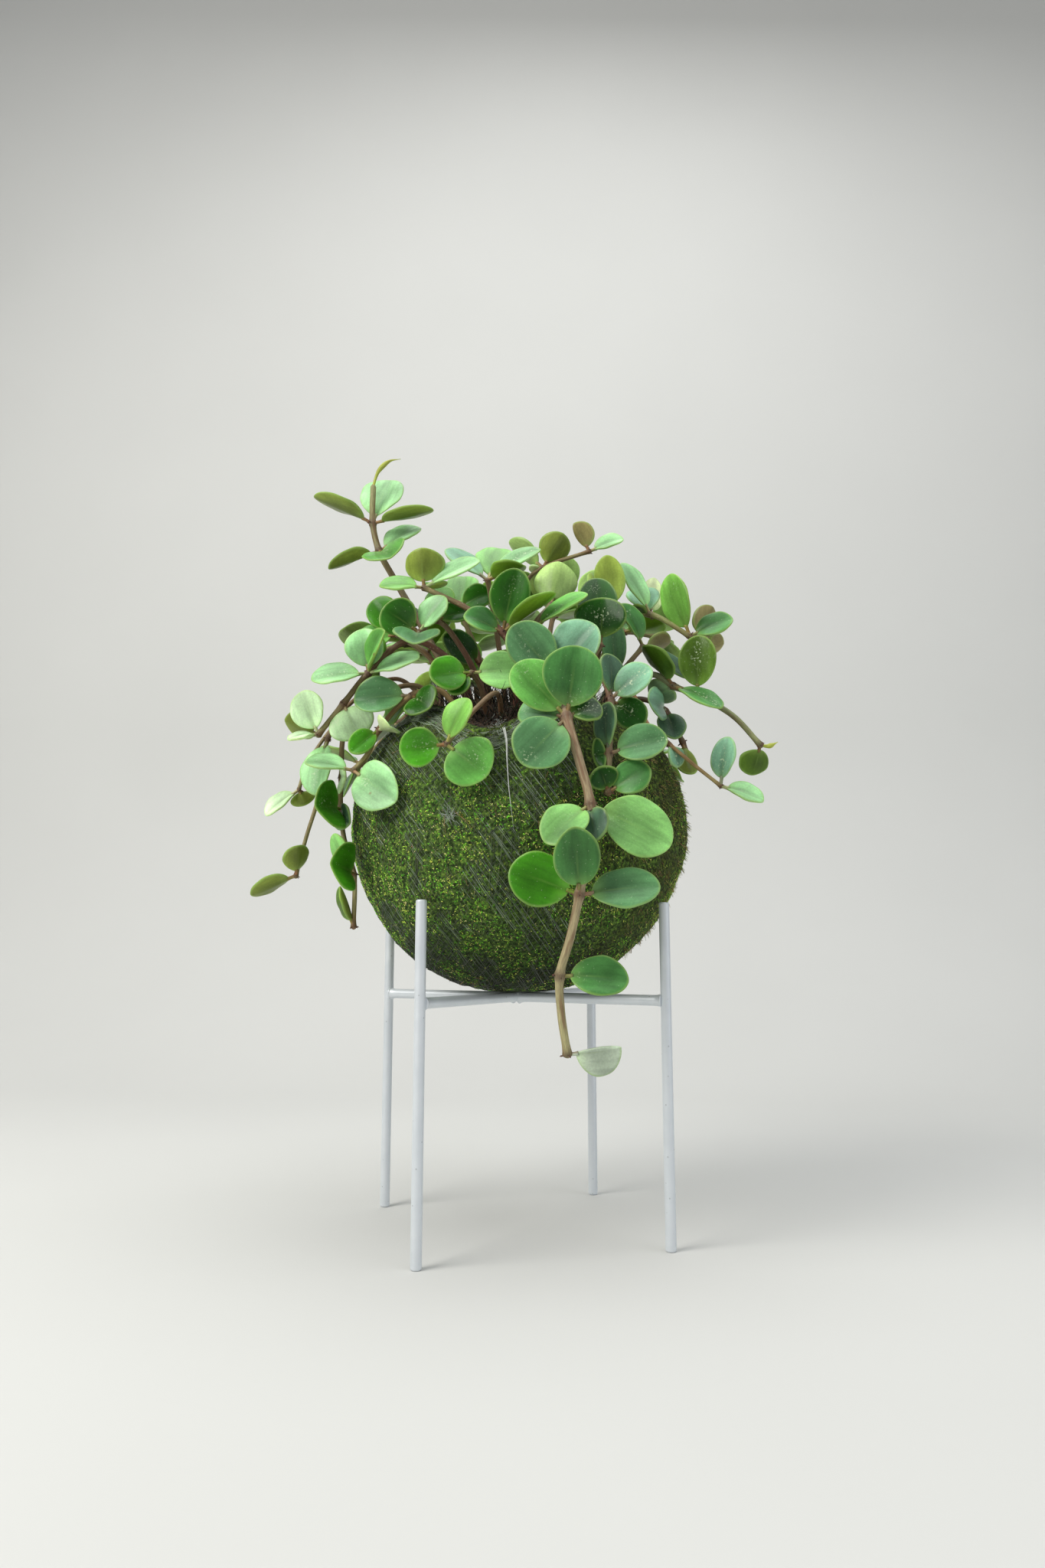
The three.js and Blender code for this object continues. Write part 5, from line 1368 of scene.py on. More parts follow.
THREAD_SETS = [
    ((0.82, 0.05, 0.57), 112, "#5f7159", "#a3b39b"),
    ((-0.64, 0.08, 0.77), 88, "#1f2a18", "#46563c"),
    ((0.9, 0.44, 0.03), 50, "#35402a", "#636d50"),
    ((-0.3, 0.9, 0.35), 30, "#2c3a22", "#4c5a40"),
]
THREAD_STEPS = 110
THREAD_SIDES = 3
THREAD_RADIUS = 0.14                  # a little thicker than the real 0.2 mm line, so that it shows
THREAD_LIFT = 0.12
THREAD_REACH = 0.93                   # the outermost loops' distance from the middle, over the ball's radius
THREAD_TILT = 0.02                    # how much the planes of a set differ
THREAD_UNEVEN = 0.012                 # how unevenly they are spaced, over the ball's radius
THREAD_LIMIT = 0.96                   # no loop lies further out than this, so none shrinks to a dot
THREAD_PADS = (0.32, 13)              # how much it rises and sinks with pads of moss, and their size
THREAD_LOW_EDGE = (2, 11)             # degrees below the mouth that a loop is held at
THREAD_HIDDEN = 0.9                   # how much deeper it lies under the loose moss at the right
THREAD_BURIED = 0.55                  # how deep it lies in moss that grows well


def thread_paths(axis, offset, rng):
    """The paths of closed loops of thread, and the ball's normals along them. A loop is where a plane meets
    the ball: all directions at one angle from the plane's own. Where it would cross the mouth it runs along
    below it. It lies on the moss, and sinks into its softer pads, where it grows well, and under the loose
    moss at the right."""
    offset = offset + rng.normal(0, THREAD_UNEVEN, len(axis))
    width = np.arccos(np.clip(offset, -THREAD_LIMIT, THREAD_LIMIT))
    first = square_to(np.array([0, 0, 1.0]), axis)
    second = np.cross(axis, first)
    turn = turn_angles(THREAD_STEPS)[:, None, None]
    across = first * np.cos(turn) + second * np.sin(turn)
    directions = axis * np.cos(width)[:, None] + across * np.sin(width)[:, None]
    down = np.arccos(np.clip(directions[..., 2], -1, 1))
    around = np.arctan2(directions[..., 1], directions[..., 0])
    held = np.radians(rng.uniform(*THREAD_LOW_EDGE, len(axis)))
    down = np.maximum(down, mouth_angle(around) + mouth_wave(around) + held)
    places = ball_points(down, around, 0)
    pad_height, pad_size = THREAD_PADS
    sink = pad_height * lump_noise(places, pad_size, 8)
    sink += THREAD_BURIED * smooth_step(growth(places), -0.25, 0.35)
    sink += THREAD_HIDDEN * smooth_step(outward_normals(down, around)[..., 0], 0.25, 0.55)
    paths = moss_points(down, around, THREAD_LIFT - sink)
    return np.swapaxes(paths, 0, 1), np.swapaxes(outward_normals(down, around), 0, 1)


def looped_faces(steps, sides):
    """Quads between the rings of a tube whose last ring is joined to its first."""
    ring, step = np.arange(sides), np.arange(steps)[:, None]
    low, high = step * sides, (step + 1) % steps * sides
    after = (ring + 1) % sides
    return np.stack([low + ring, low + after, high + after, high + ring], axis=-1).reshape(-1, 4)


def thread_part(rng):
    """Closed loops of thread: a small ring of points square to the path at each of its steps. Each loop has
    a colour drawn between the darkest and the palest of its set, and is painted darker towards the foot of
    the ball, as shade."""
    set_axes, numbers, darkest, palest = zip(*THREAD_SETS)
    axis = np.repeat(np.array(set_axes), numbers, axis=0)
    axis = unit(axis + rng.normal(0, THREAD_TILT, axis.shape))
    offset = np.concatenate([np.linspace(-THREAD_REACH, THREAD_REACH, number) for number in numbers])
    path, normals = thread_paths(axis, offset, rng)
    along = unit(np.roll(path, -1, axis=1) - np.roll(path, 1, axis=1))
    side = np.cross(along, normals)
    angle = turn_angles(THREAD_SIDES) + np.pi / 6
    section = (np.cos(angle)[:, None] * normals[:, :, None] - np.sin(angle)[:, None] * side[:, :, None])
    rings = path[:, :, None] + THREAD_RADIUS * section
    low_tone, high_tone = (np.repeat(palette(codes), numbers, axis=0) for codes in (darkest, palest))
    shades = low_tone + (high_tone - low_tone) * rng.uniform(0, 1, (len(axis), 1))
    # Painted shade: darker towards the foot of the ball.
    tone = shades[:, None, None] * damp_level(rings[..., 2:], FOOT_SHADE)
    quads = copied(looped_faces(THREAD_STEPS, THREAD_SIDES), len(axis), THREAD_STEPS * THREAD_SIDES)
    return {"points": rings.reshape(-1, 3), "quads": quads, "triangles": np.zeros((0, 3), int),
            "material": 0, "values": {"tone": tone.reshape(-1, 3)}}


# Strands: short bent bits of moss and dead fibre, most lying on the ball, and a fringe that stands out of its
# shaggy side

STRAND_COUNT = 2800
STRAND_CHOICE = 3                     # how much denser strands lie on the shaggy side
COMBED = 1.6                          # how much they hang down there
STRAND_ROWS = 4
STRAND_SIDES = 3
STRAND_REACH = (2, 7)
STRAND_RADIUS = 0.18
STRAND_TAPER = 0.7                    # how much of its radius it loses
STRAND_SINK = 0.2                     # how deep it is rooted
STRAND_WANDER = 0.8                   # how much its direction is left to chance
STRAND_BEND = 0.4
STRAND_LUCK = 3                       # how much chance counts in the choice of its place
STRAND_PLACES = 3                     # places that are drawn for each one that is used
STRAND_TUFT = 4                       # strands that grow from one place
TUFT_SPREAD = 0.5                     # degrees
FRINGE_SHARE = (0.12, 0.85)           # of the strands that stand up, on the tight side and on the shaggy one
FRINGE_REACH = (0.7, 2.6)
STANDING_RISE = 1.1                   # how far a strand that stands rises for each length along the ball
LYING_RISE = 0.1
LOWEST_FREE_RISE = 0.14               # strands that rise less follow the ball
LYING_FALL = 0.12                     # how much the ball has fallen away at their tips
STRAND_TONES = ["#7a6640", "#9a8450", "#5a4c2e", "#b09a68", "#6c8838", "#4e7426", "#86983e"]
LINT_TONES = ["#cdd3cf", "#b4bdb6", "#e2e5e2"]
STRAW_TONES = ["#b39b72", "#8f7850"]

# Each tuft of lint has its place and its spread in degrees down and round, the number of its hairs, their
# radius, shortest and longest reach, least and greatest rise, and tones

LINT_TUFTS = [
    ((90.8, -107.7), 0.9, 46, 0.09, (1.5, 5.5), (0.15, 0.5), LINT_TONES),
    ((90.8, -107.7), 0.9, 3, 0.25, (10, 12), (0.15, 0.17), STRAW_TONES),
    ((60.5, -93), 2.6, 90, 0.1, (1, 3.2), (0.02, 0.25), LINT_TONES),
]


def bent_strands(bases, normals, reach, rise, radius, codes, rng):
    """Strands on a curved path: along a direction that leans out of the surface by the rise, with a sideways
    bend that grows with the square of the distance, and a radius that falls towards the tip. Those that lie
    down follow the ball."""
    count = len(bases)
    hanging = np.array([0, 0, -COMBED]) * shagginess(normals)[:, None]
    forward = square_to(rng.normal(size=normals.shape) * STRAND_WANDER + hanging, normals)
    bend = np.cross(normals, forward) * rng.uniform(-STRAND_BEND, STRAND_BEND, (count, 1))
    share = np.linspace(0, 1, STRAND_ROWS)[:, None]
    onward = (forward + normals * rise)[:, None] * share + bend[:, None] * share ** 2
    fall = normals[:, None] * share ** 2 * np.where(rise < LOWEST_FREE_RISE, LYING_FALL, 0)[:, None]
    paths = bases[:, None] + reach[:, None] * (onward - fall)
    radii = np.broadcast_to(radius * (1 - STRAND_TAPER * share[:, 0]), paths.shape[:2])
    tone = palette(codes)[rng.integers(len(codes), size=count)]
    shape = (count, STRAND_ROWS, STRAND_SIDES, 3)
    return tubes(paths, radii, STRAND_SIDES, normals, tone=np.broadcast_to(tone[:, None, None], shape))


def strand_part(rng):
    """Strands over the whole ball. Some stand up, and most do on its shaggy side."""
    tufts = STRAND_COUNT // STRAND_TUFT
    down, around = even_places(tufts * STRAND_PLACES, rng)
    score = STRAND_CHOICE * shagginess(outward_normals(down, around))
    score = score + rng.uniform(0, STRAND_LUCK, len(down))
    chosen = np.repeat(np.argsort(-score, kind="stable")[:tufts], STRAND_TUFT)
    spread = rng.normal(0, np.radians(TUFT_SPREAD), (2, STRAND_COUNT))
    down, around = np.stack([down[chosen], around[chosen]]) + spread
    tight, shaggy = FRINGE_SHARE
    wanted = tight + (shaggy - tight) * shagginess(outward_normals(down, around))
    standing = (rng.uniform(0, 1, STRAND_COUNT) < wanted)[:, None]
    reach = np.where(standing, rng.uniform(*FRINGE_REACH, (STRAND_COUNT, 1)),
                     rng.uniform(*STRAND_REACH, (STRAND_COUNT, 1)))
    return bent_strands(moss_points(down, around, -STRAND_SINK), outward_normals(down, around), reach,
                        np.where(standing, STANDING_RISE, LYING_RISE), STRAND_RADIUS, STRAND_TONES, rng)


def lint_part(rng):
    """Pale lint that has caught on the windings at the front, round a few dry straws, and at the head of the
    white streak."""
    parts = []
    for place, spread, count, radius, reaches, rises, codes in LINT_TUFTS:
        down, around = np.radians(place)[:, None] + rng.normal(0, np.radians(spread), (2, count))
        reach, rise = rng.uniform(*reaches, (count, 1)), rng.uniform(*rises, (count, 1))
        bases = moss_points(down, around, -STRAND_SINK)
        parts.append(bent_strands(bases, outward_normals(down, around), reach, rise, radius, codes, rng))
    return parts


# A white streak of lime that has run down from the mouth at the front, in true x and z on the ball

STREAK_RUN = [(-1.0, 236), (0.5, 229), (1.2, 219), (2.2, 206), (3.6, 194), (4.5, 186)]
STREAK_THREADS = [(0, 0.2), (-0.6, 0.11), (0.5, 0.1)]     # sideways shift at the top, and radius
STREAK_STEP = 1.5
STREAK_SIDES = 6
STREAK_LIFT = 0.35
STREAK_TOP = 1.1                      # a run's radius at its top over the one given, and it falls by one


def streak_part():
    """A few thin runs that start side by side and join: each narrows evenly to a tenth of its radius at its
    foot."""
    parts = []
    for shift, radius in STREAK_THREADS:
        run = np.array(STREAK_RUN, float)
        run[:, 0] += shift * np.linspace(1, 0, len(run)) ** 2
        path, distance, _ = smooth_path(np.stack([run[:, 0], 0 * run[:, 0], run[:, 1]], axis=-1), STREAK_STEP)
        upward = (path[:, 2] - BALL_CENTRE[2]) / BALL_HALF_HEIGHT
        down = np.arccos(np.clip(upward, -1, 1))
        around = -np.arccos(np.clip((path[:, 0] - BALL_CENTRE[0]) / (BALL_RADIUS * np.sin(down)), -1, 1))
        places = moss_points(down, around, STREAK_LIFT)
        radii = radius * (STREAK_TOP - distance / distance[-1])
        parts.append(tubes(places[None], radii[None], STREAK_SIDES, flat_normal(places)[None]))
    return parts


# The soil in the mouth, with crumbs on it

SOIL_SIDES = 150
SOIL_ROWS = 44
SOIL_INSET = MOSS_THICKNESS - 0.6     # it fills the moss with no gap
SOIL_LUMPS = ((1.5, 6), (0.6, 2))     # height and size of its lumps and of its grains
SOIL_EDGE = 0.25                      # the lumps fade out towards the edge and the middle
CRUMB_COUNT = 3400
CRUMB_SIZE = (0.5, 1.9)
CRUMB_POWER = 1.3                     # makes most crumbs small
CRUMB_SCALE = 1.4                     # by which they are then made smaller
CRUMB_WIDTH = (0.6, 1.1)              # over its size
CRUMB_THICKNESS = (0.5, 0.9)
CRUMB_LIFT = 0.3
CRUMBS_PAST_EDGE = 1.05               # how far out they lie, over the soil's reach: the last are on the lip
LIP_REACH = 60                        # millimetres outwards for a full share past the edge
SOIL_TONES = ["#2a1e16", "#3d2c1f", "#523c29", "#1a130e", "#6a5138", "#57503c"]


def soil_height(points):
    """Height of the lumps and grains of the soil's surface: two noises added."""
    (lump_height, lump_size), (grain_height, grain_size) = SOIL_LUMPS
    return lump_height * lump_noise(points, lump_size, 11) + grain_height * lump_noise(points, grain_size, 12)


def soil_places(around, share):
    """Places on the top of the soil at shares of the way from its edge to its middle: it rises as a quarter
    sine, with lumps."""
    edge = ball_points(mouth_angle(around) + np.radians(LIP_INSIDE), around, -SOIL_INSET)
    middle = np.array([BALL_CENTRE[0], BALL_CENTRE[1], SOIL_TOP])
    level = edge + (middle - edge) * share[..., None]
    level[..., 2] = edge[..., 2] + (SOIL_TOP - edge[..., 2]) * np.sin(share * np.pi / 2)
    level[..., 2] += soil_height(level) * smooth_step(1 - np.abs(2 * share - 1), 0, SOIL_EDGE)
    return level


def peat_soil():
    """The soil as one closed body: rings up the inside of the moss, and then in to the middle of its top."""
    around = np.broadcast_to(turn_angles(SOIL_SIDES), (SOIL_ROWS, SOIL_SIDES))
    edge = mouth_angle(around[0]) + np.radians(LIP_INSIDE)
    row = (np.arange(INSIDE_ROWS - 1, 0, -1) / INSIDE_ROWS)[:, None]
    wall = ball_points(edge + (np.pi - edge) * row, np.broadcast_to(around[0], (INSIDE_ROWS - 1, SOIL_SIDES)),
                       -SOIL_INSET)
    share = np.broadcast_to((np.arange(SOIL_ROWS) / SOIL_ROWS)[:, None], (SOIL_ROWS, SOIL_SIDES))
    rings = np.concatenate([wall, soil_places(around, share)])[None]
    bottom = BALL_CENTRE - [0, 0, BALL_HALF_HEIGHT - SOIL_INSET]
    poles = np.array([[bottom, [BALL_CENTRE[0], BALL_CENTRE[1], SOIL_TOP]]])
    return ring_part(rings, poles)


def crumb_part(rng):
    """Crumbs scattered over the soil and on the torn lip: rough eight-faced lumps."""
    around = rng.uniform(0, 2 * np.pi, CRUMB_COUNT)
    share = 1 - np.sqrt(rng.uniform(0, 1, CRUMB_COUNT)) * CRUMBS_PAST_EDGE
    places = soil_places(around, np.clip(share, 0, 1)) + [0, 0, CRUMB_LIFT]
    places = places + flat_directions(around) * (np.clip(-share, 0, 1) * LIP_REACH)[:, None]
    size = rng.uniform(*CRUMB_SIZE, CRUMB_COUNT) ** CRUMB_POWER / CRUMB_SCALE
    directions = unit(rng.normal(size=places.shape))
    normals = unit(rng.normal(size=places.shape))
    tone = palette(SOIL_TONES)[rng.integers(len(SOIL_TONES), size=CRUMB_COUNT)]
    return leaflets(places, directions, normals, size, size * rng.uniform(*CRUMB_WIDTH, CRUMB_COUNT),
                    size * rng.uniform(*CRUMB_THICKNESS, CRUMB_COUNT), tone)


# Fine dark roots and dead stalks that stand between the stems, out of the soil, dark enough to be painted
# shade for the crown's shadowed depths behind them

ROOT_COUNT = 900
ROOT_REACH = (6, 18)
ROOT_RADIUS = 0.34
ROOT_LEAN = 0.35                      # how much they lean away from the middle
ROOT_FIELD = 0.92                     # how far out they stand, over the soil's reach
ROOT_SINK = 0.6
ROOT_RISE = (0.8, 2)
ROOT_AT_EDGE = 0.55                   # their length at the edge of the soil over that in its middle
# Near-black tones: partly root colour, partly painted shade between the stems.
ROOT_AND_SHADOW_TONES = ["#2b2016", "#3a2c1c", "#1c2212", "#2a3618", "#4a3826", "#15130d"]


def root_part(rng):
    """Roots at random places on the soil, longer towards its middle: each rises in a bent line. Their
    near-black tones are painted shade that fills the gaps between the stems.
    """
    around = rng.uniform(0, 2 * np.pi, ROOT_COUNT)
    share = 1 - ROOT_FIELD * np.sqrt(rng.uniform(0, 1, ROOT_COUNT))
    bases = soil_places(around, share) - [0, 0, ROOT_SINK]
    normals = unit(ROOT_LEAN * flat_directions(around) + [0, 0, 1])
    longer = ROOT_AT_EDGE + (1 - ROOT_AT_EDGE) * share[:, None]
    reach = rng.uniform(*ROOT_REACH, (ROOT_COUNT, 1)) * longer
    rise = rng.uniform(*ROOT_RISE, (ROOT_COUNT, 1))
    return bent_strands(bases, normals, reach, rise, ROOT_RADIUS, ROOT_AND_SHADOW_TONES, rng)


# The stand

ROD_SIDES = 40
ROD_EDGE = 0.8                        # radius of the rounding of a cut end
ROD_STEP_LENGTH = 2.5
ROD_END_RINGS = [0, 0.1, 0.3, 0.55, 0.8, 1.2, 1.7, 2.3, 3.1, 4.2]     # millimetres from an end
ROD_END_LENGTH = 6                    # where the even steps start
WELD_BEAD = 0.25                      # how lumpy the weld is, over its flare
WELD_RIPPLE = 4                       # radians of the bead's wave for each millimetre
WELD_FLARE = 0.75                     # how much the weld stands out round the end of a bar
WELD_LENGTH = 1.8
WELD_SINK = 0.9                       # how far a bar goes on into the rod that it is welded to


def painted_rod(start, end, welds=(False, False)):
    """A round rod with softly rounded ends. A welded end flares by a bell curve with a lumpy bead in it."""
    start, end = np.array(start, float), np.array(end, float)
    length = np.linalg.norm(end - start)
    near_end = np.array(ROD_END_RINGS)
    middle = np.arange(ROD_END_LENGTH, length - ROD_END_LENGTH, ROD_STEP_LENGTH)
    distance = np.concatenate([near_end, middle, length - near_end[::-1]])
    path = start + (end - start) * (distance / length)[:, None]
    radii = ROD_DIAMETER / 2 * np.ones(len(distance))
    for at_end, welded in enumerate(welds):
        away = distance if at_end == 0 else length - distance
        if welded:
            bead = 1 + WELD_BEAD * np.sin(away * WELD_RIPPLE)
            radii += WELD_FLARE * np.exp(-(away / WELD_LENGTH) ** 2) * bead
        else:
            inward = np.clip(1 - away / ROD_EDGE, 0, 1)
            radii -= ROD_EDGE * (1 - np.sqrt(1 - inward ** 2))
    reference = np.array([[0.3, 0.5, 0.8]]) if abs(end[2] - start[2]) < 1 else np.array([[1.0, 0, 0]])
    return tubes(path[None], radii[None], ROD_SIDES, reference)


def stand_rods():
    """The rods by the name of the node that each stands for: four legs, a bar right through, and two half
    bars."""
    right, back, left, front = leg_places()
    reach = LEG_CIRCLE - ROD_DIAMETER / 2 + WELD_SINK
    inner = ROD_DIAMETER / 2 - WELD_SINK

    def on_bar(foot, distance):
        """The point of the bar over a leg's foot, so far from the stand's axis."""
        return foot * distance / LEG_CIRCLE + [0, 0, BAR_HEIGHT]

    rods = {name: painted_rod(foot, foot + [0, 0, LEG_HEIGHT]) for name, foot in zip(LEG_NAMES, leg_places())}
    rods["cross_bar_through"] = painted_rod(on_bar(front, reach), on_bar(back, reach), (True, True))
    rods["cross_bar_right"] = painted_rod(on_bar(right, inner), on_bar(right, reach), (True, True))
    rods["cross_bar_left"] = painted_rod(on_bar(left, inner), on_bar(left, reach), (True, True))
    return rods


# Materials

SMOOTH = {"interpolation_type": "SMOOTHSTEP"}
COLOURS = {"data_type": "RGBA"}


def add_node(tree, kind, inputs=(), **settings):
    """Adds a node with its settings. Its inputs come in order, or by their names or numbers, and each takes a
    value, a socket, or a node, which gives its first output in use."""
    node = tree.nodes.new("ShaderNode" + kind)
    for name, value in settings.items():
        setattr(node, name, value)
    for key, value in inputs.items() if isinstance(inputs, dict) else enumerate(inputs):
        value = output_of(value)
        if isinstance(value, bpy.types.NodeSocket):
            tree.links.new(value, node.inputs[key])
        else:
            node.inputs[key].default_value = value
    return node


def output_of(source):
    """The first output in use of a node, and anything else as it is."""
    if isinstance(source, bpy.types.Node):
        return next(output for output in source.outputs if output.enabled)
    return source


def colour(code):
    """A hex colour as a socket takes it."""
    return (*to_linear(code), 1)


def new_material(name, **values):
    """A material with a Principled shader and the values of its own sockets: the material, the function that
    adds its nodes, and the shader."""
    material = bpy.data.materials.new(name)
    material.use_nodes = True
    material.node_tree.nodes.clear()
    add = functools.partial(add_node, material.node_tree)
    shader = add("BsdfPrincipled", values)
    add("OutputMaterial", {"Surface": shader})
    return material, add, shader


def connect(shader, **sources):
    """Links nodes or sockets to the shader's sockets, by their names with a low dash for each space."""
    for name, source in sources.items():
        shader.id_data.links.new(output_of(source), shader.inputs[name.replace("_", " ")])


def paled(add, skin, off_middle, share, rim):
    """A leaf's skin made paler on its rib, at its stalk and at its very edge; the pale of the edge is partly
    its own margin and partly a painted highlight on the thick rounded rim.
    """
    rib = add("Math", (add("MapRange", (off_middle, 0.015, 0.07, 0.12, 0), **SMOOTH),
                       add("MapRange", (share, 0.2, 0.85, 1, 0), **SMOOTH)), operation="MULTIPLY")
    stalk_end = add("MapRange", (share, 0, 0.3, 0.22, 0), **SMOOTH)
    # Pale edge line: partly the leaf's own margin, partly a painted highlight on its rounded rim.
    edge = add("MapRange", (rim, 0.1, 1.3, 0.45, 0), **SMOOTH)
    pale = add("Math", (rib, stalk_end), operation="MAXIMUM")
    pale = add("Math", (pale, edge), operation="MAXIMUM")
    return add("Mix", {0: pale, 6: skin, 7: colour("#a9cc6c")}, **COLOURS)


def spotted(add, skin, place, off_middle, on_top):
    """A leaf's skin with pale pores and dried chalk on its upper face, the chalk most along the middle."""
    pores = add("TexVoronoi", {"Vector": place, "Scale": 480})
    pore = add("MapRange", (pores.outputs["Distance"], 0.05, 0.14, 0.3, 0), **SMOOTH)
    dried = add("TexNoise", {"Vector": place, "Scale": 38, "Detail": 1})
    drops = add("TexNoise", {"Vector": place, "Scale": 900, "Detail": 2})
    chalk = add("Math", (add("MapRange", (dried, 0.53, 0.68, 0, 0.7), **SMOOTH),
                         add("MapRange", (drops, 0.56, 0.68, 0, 1), **SMOOTH)), operation="MULTIPLY")
    along_middle = add("MapRange", (off_middle, 0.1, 0.5, 1, 0.12), **SMOOTH)
    chalk = add("Math", (chalk, along_middle), operation="MULTIPLY")
    marks = add("Math", (pore, chalk), operation="MAXIMUM")
    marks = add("Math", (marks, on_top), operation="MULTIPLY")
    return add("Mix", {0: marks, 6: skin, 7: colour("#d3e4bc")}, **COLOURS)


def scarred(add, skin, place):
    """A leaf's skin with a small brown scar in about one cell in ten of those that it is divided into."""
    cells = add("TexVoronoi", {"Vector": place, "Scale": 62})
    chosen = add("SeparateColor", (cells.outputs["Color"],))
    scar = add("Math", (add("MapRange", (cells.outputs["Distance"], 0.03, 0.08, 0.75, 0), **SMOOTH),
                        add("Math", (chosen, 0.9), operation="GREATER_THAN")), operation="MULTIPLY")
    return add("Mix", {0: scar, 6: skin, 7: colour("#7d6238")}, **COLOURS)


def waxy_leaf():
    """Waxy skin of a fleshy leaf, as it grew. It looks softly lit from inside and has a satin gloss. Its
    green is cloudy with faint streaks and pale at the stalk. Light and shade are painted into it: a painted
    sweep from light to shade across each leaf, painted shade along its folded middle, and a lighter border
    towards the rim with a darker middle as painted shade of its cup. Its very edge is pale, partly its own
    pale margin and partly a painted highlight on its thick rounded rim. It has pale pores, chalk that drops
    of hard water left, and here and there a dry scar."""
    material, add, shader = new_material("waxy_leaf_skin_as_grown", **{
        "Subsurface Weight": 0.15, "Subsurface Radius": (0.8, 1.0, 0.6), "Subsurface Scale": 0.001,
        "Specular IOR Level": 0.2, "Coat Weight": 0.14, "Coat Roughness": 0.2, "IOR": 1.45})
    place = add("TexCoord").outputs["Object"]
    upper, side, share, rim, glow = (add("Attribute", attribute_name=name).outputs["Fac"]
                                     for name in ("upper", "side", "share", "rim", "glow"))
    tone, under = (add("Attribute", attribute_name=name).outputs["Color"] for name in ("tone", "under_tone"))
    own = add("Attribute", attribute_name="own_place").outputs["Vector"]
    on_top = add("MapRange", (upper, -0.3, 0.3, 0, 1), **SMOOTH)
    skin = add("Mix", {0: on_top, 6: under, 7: tone}, **COLOURS)

    off_middle = add("Math", (side,), operation="ABSOLUTE")
    clouds = add("TexNoise", {"Vector": place, "Scale": 62, "Detail": 2})
    drawn_out = add("Mapping", {"Vector": own, "Scale": (0.07, 0.42, 0.3)})
    streaks = add("TexNoise", {"Vector": drawn_out, "Scale": 1, "Detail": 3})
    grain = add("TexNoise", {"Vector": place, "Scale": 1100, "Detail": 2})
    # In order: cloudy tone, streaks and grain, which are the leaf's own; a painted sweep from light to shade
    # across the leaf; painted shade of the cup, lighter at the border and darker in the middle; and painted
    # shade along the folded middle.
    shades = [(clouds, 0.35, 0.65, 0.86, 1.12), (streaks, 0.35, 0.65, 0.88, 1.1),
              (grain, 0.3, 0.7, 0.93, 1.06), (glow, -1, 1, 0.78, 1.22),
              (rim, 0.6, 8, 1.16, 0.86), (off_middle, 0.02, 0.42, 0.84, 1.04)]
    for source, low, high, at_low, at_high in shades:
        level = add("MapRange", (source, low, high, at_low, at_high), **SMOOTH)
        skin = add("VectorMath", {0: skin, 3: level}, operation="SCALE")
    skin = paled(add, skin, off_middle, share, rim)
    skin = spotted(add, skin, place, off_middle, on_top)
    skin = scarred(add, skin, place)

    gloss = add("MapRange", (clouds, 0.35, 0.65, 0.3, 0.44))
    rough = add("Math", (streaks, 2.0, grain), operation="MULTIPLY_ADD")
    bump = add("Bump", {"Height": rough, "Strength": 0.3, "Distance": 0.00025})
    connect(shader, Base_Color=skin, Roughness=gloss, Normal=bump)
    return material


def stem_bark():
    """Smooth thin bark of a young woody stem, as grown: matt, with fine darker streaks that run along it,
    paler breathing spots, and a red-brown flush here and there."""
    material, add, shader = new_material("smooth_stem_bark_as_grown")
    own = add("Attribute", attribute_name="own_place").outputs["Vector"]
    tone = add("Attribute", attribute_name="tone").outputs["Color"]
    drawn_out = add("Mapping", {"Vector": own, "Scale": (1.6, 1.6, 0.16)})
    streaks = add("TexNoise", {"Vector": drawn_out, "Scale": 1.6, "Detail": 4})
    shade = add("MapRange", (streaks, 0.3, 0.7, 0.68, 1.28))
    bark = add("VectorMath", {0: tone, 3: shade}, operation="SCALE")
    spots = add("TexVoronoi", {"Vector": add("TexCoord").outputs["Object"], "Scale": 420})
    spot = add("MapRange", (spots.outputs["Distance"], 0.1, 0.22, 0.45, 0))
    bark = add("Mix", {0: spot, 6: bark, 7: colour("#b9a184")}, **COLOURS)
    flushed = add("TexNoise", {"Vector": drawn_out, "Scale": 0.3, "Detail": 2})
    flush = add("MapRange", (flushed, 0.46, 0.66, 0, 0.6), **SMOOTH)
    bark = add("Mix", {0: flush, 6: bark, 7: colour("#74492f")}, **COLOURS)
    bump = add("Bump", {"Height": streaks, "Strength": 0.6, "Distance": 0.0003})
    connect(shader, Base_Color=bark, Roughness=add("MapRange", (streaks, 0, 1, 0.48, 0.72)), Normal=bump)
    return material


# The moss is lined by its windings: each set has the direction across its lines, their spacing in
#  millimetres, their colour, pale where the thread lies on top and dark as painted shade in the grooves where
#  it has cut in, and how strongly they show

WINDING_LINES = [
    # The near-black of this set is painted shade in the grooves that the thread has cut.
    ((-0.64, 0.08, 0.77), 1.15, "#11180c", 0.6),
    ((0.82, 0.05, 0.57), 1.66, "#74876a", 0.45),
    ((0.9, 0.44, 0.03), 1.5, "#7d7a58", 0.34),
]


def winding_lines(add, place, patches, direction, spacing):
    """A share that is high on thin lines square to a direction: the distance along it, bent a little by
    noise, is folded at each spacing. The lines fade in and out in patches."""
    across = add("VectorMath", (place, direction), operation="DOT_PRODUCT")
    bent = add("TexNoise", {"Vector": place, "Scale": 42, "Detail": 1})
    turns = add("Math", (across, 1000 / spacing, add("Math", (bent, 2.2), operation="MULTIPLY")),
                operation="MULTIPLY_ADD")
    folded = add("Math", (turns, 0.5), operation="PINGPONG")
    broken = add("TexNoise", {"Vector": place, "Scale": 230, "Detail": 1})
    line = add("Math", (add("MapRange", (folded, 0.3, 0.46, 0, 1), **SMOOTH),
                        add("MapRange", (broken, 0.42, 0.58, 0.15, 1), **SMOOTH)), operation="MULTIPLY")
    return add("Math", (line, add("MapRange", (patches, 0.38, 0.56, 0.2, 1), **SMOOTH)), operation="MULTIPLY")


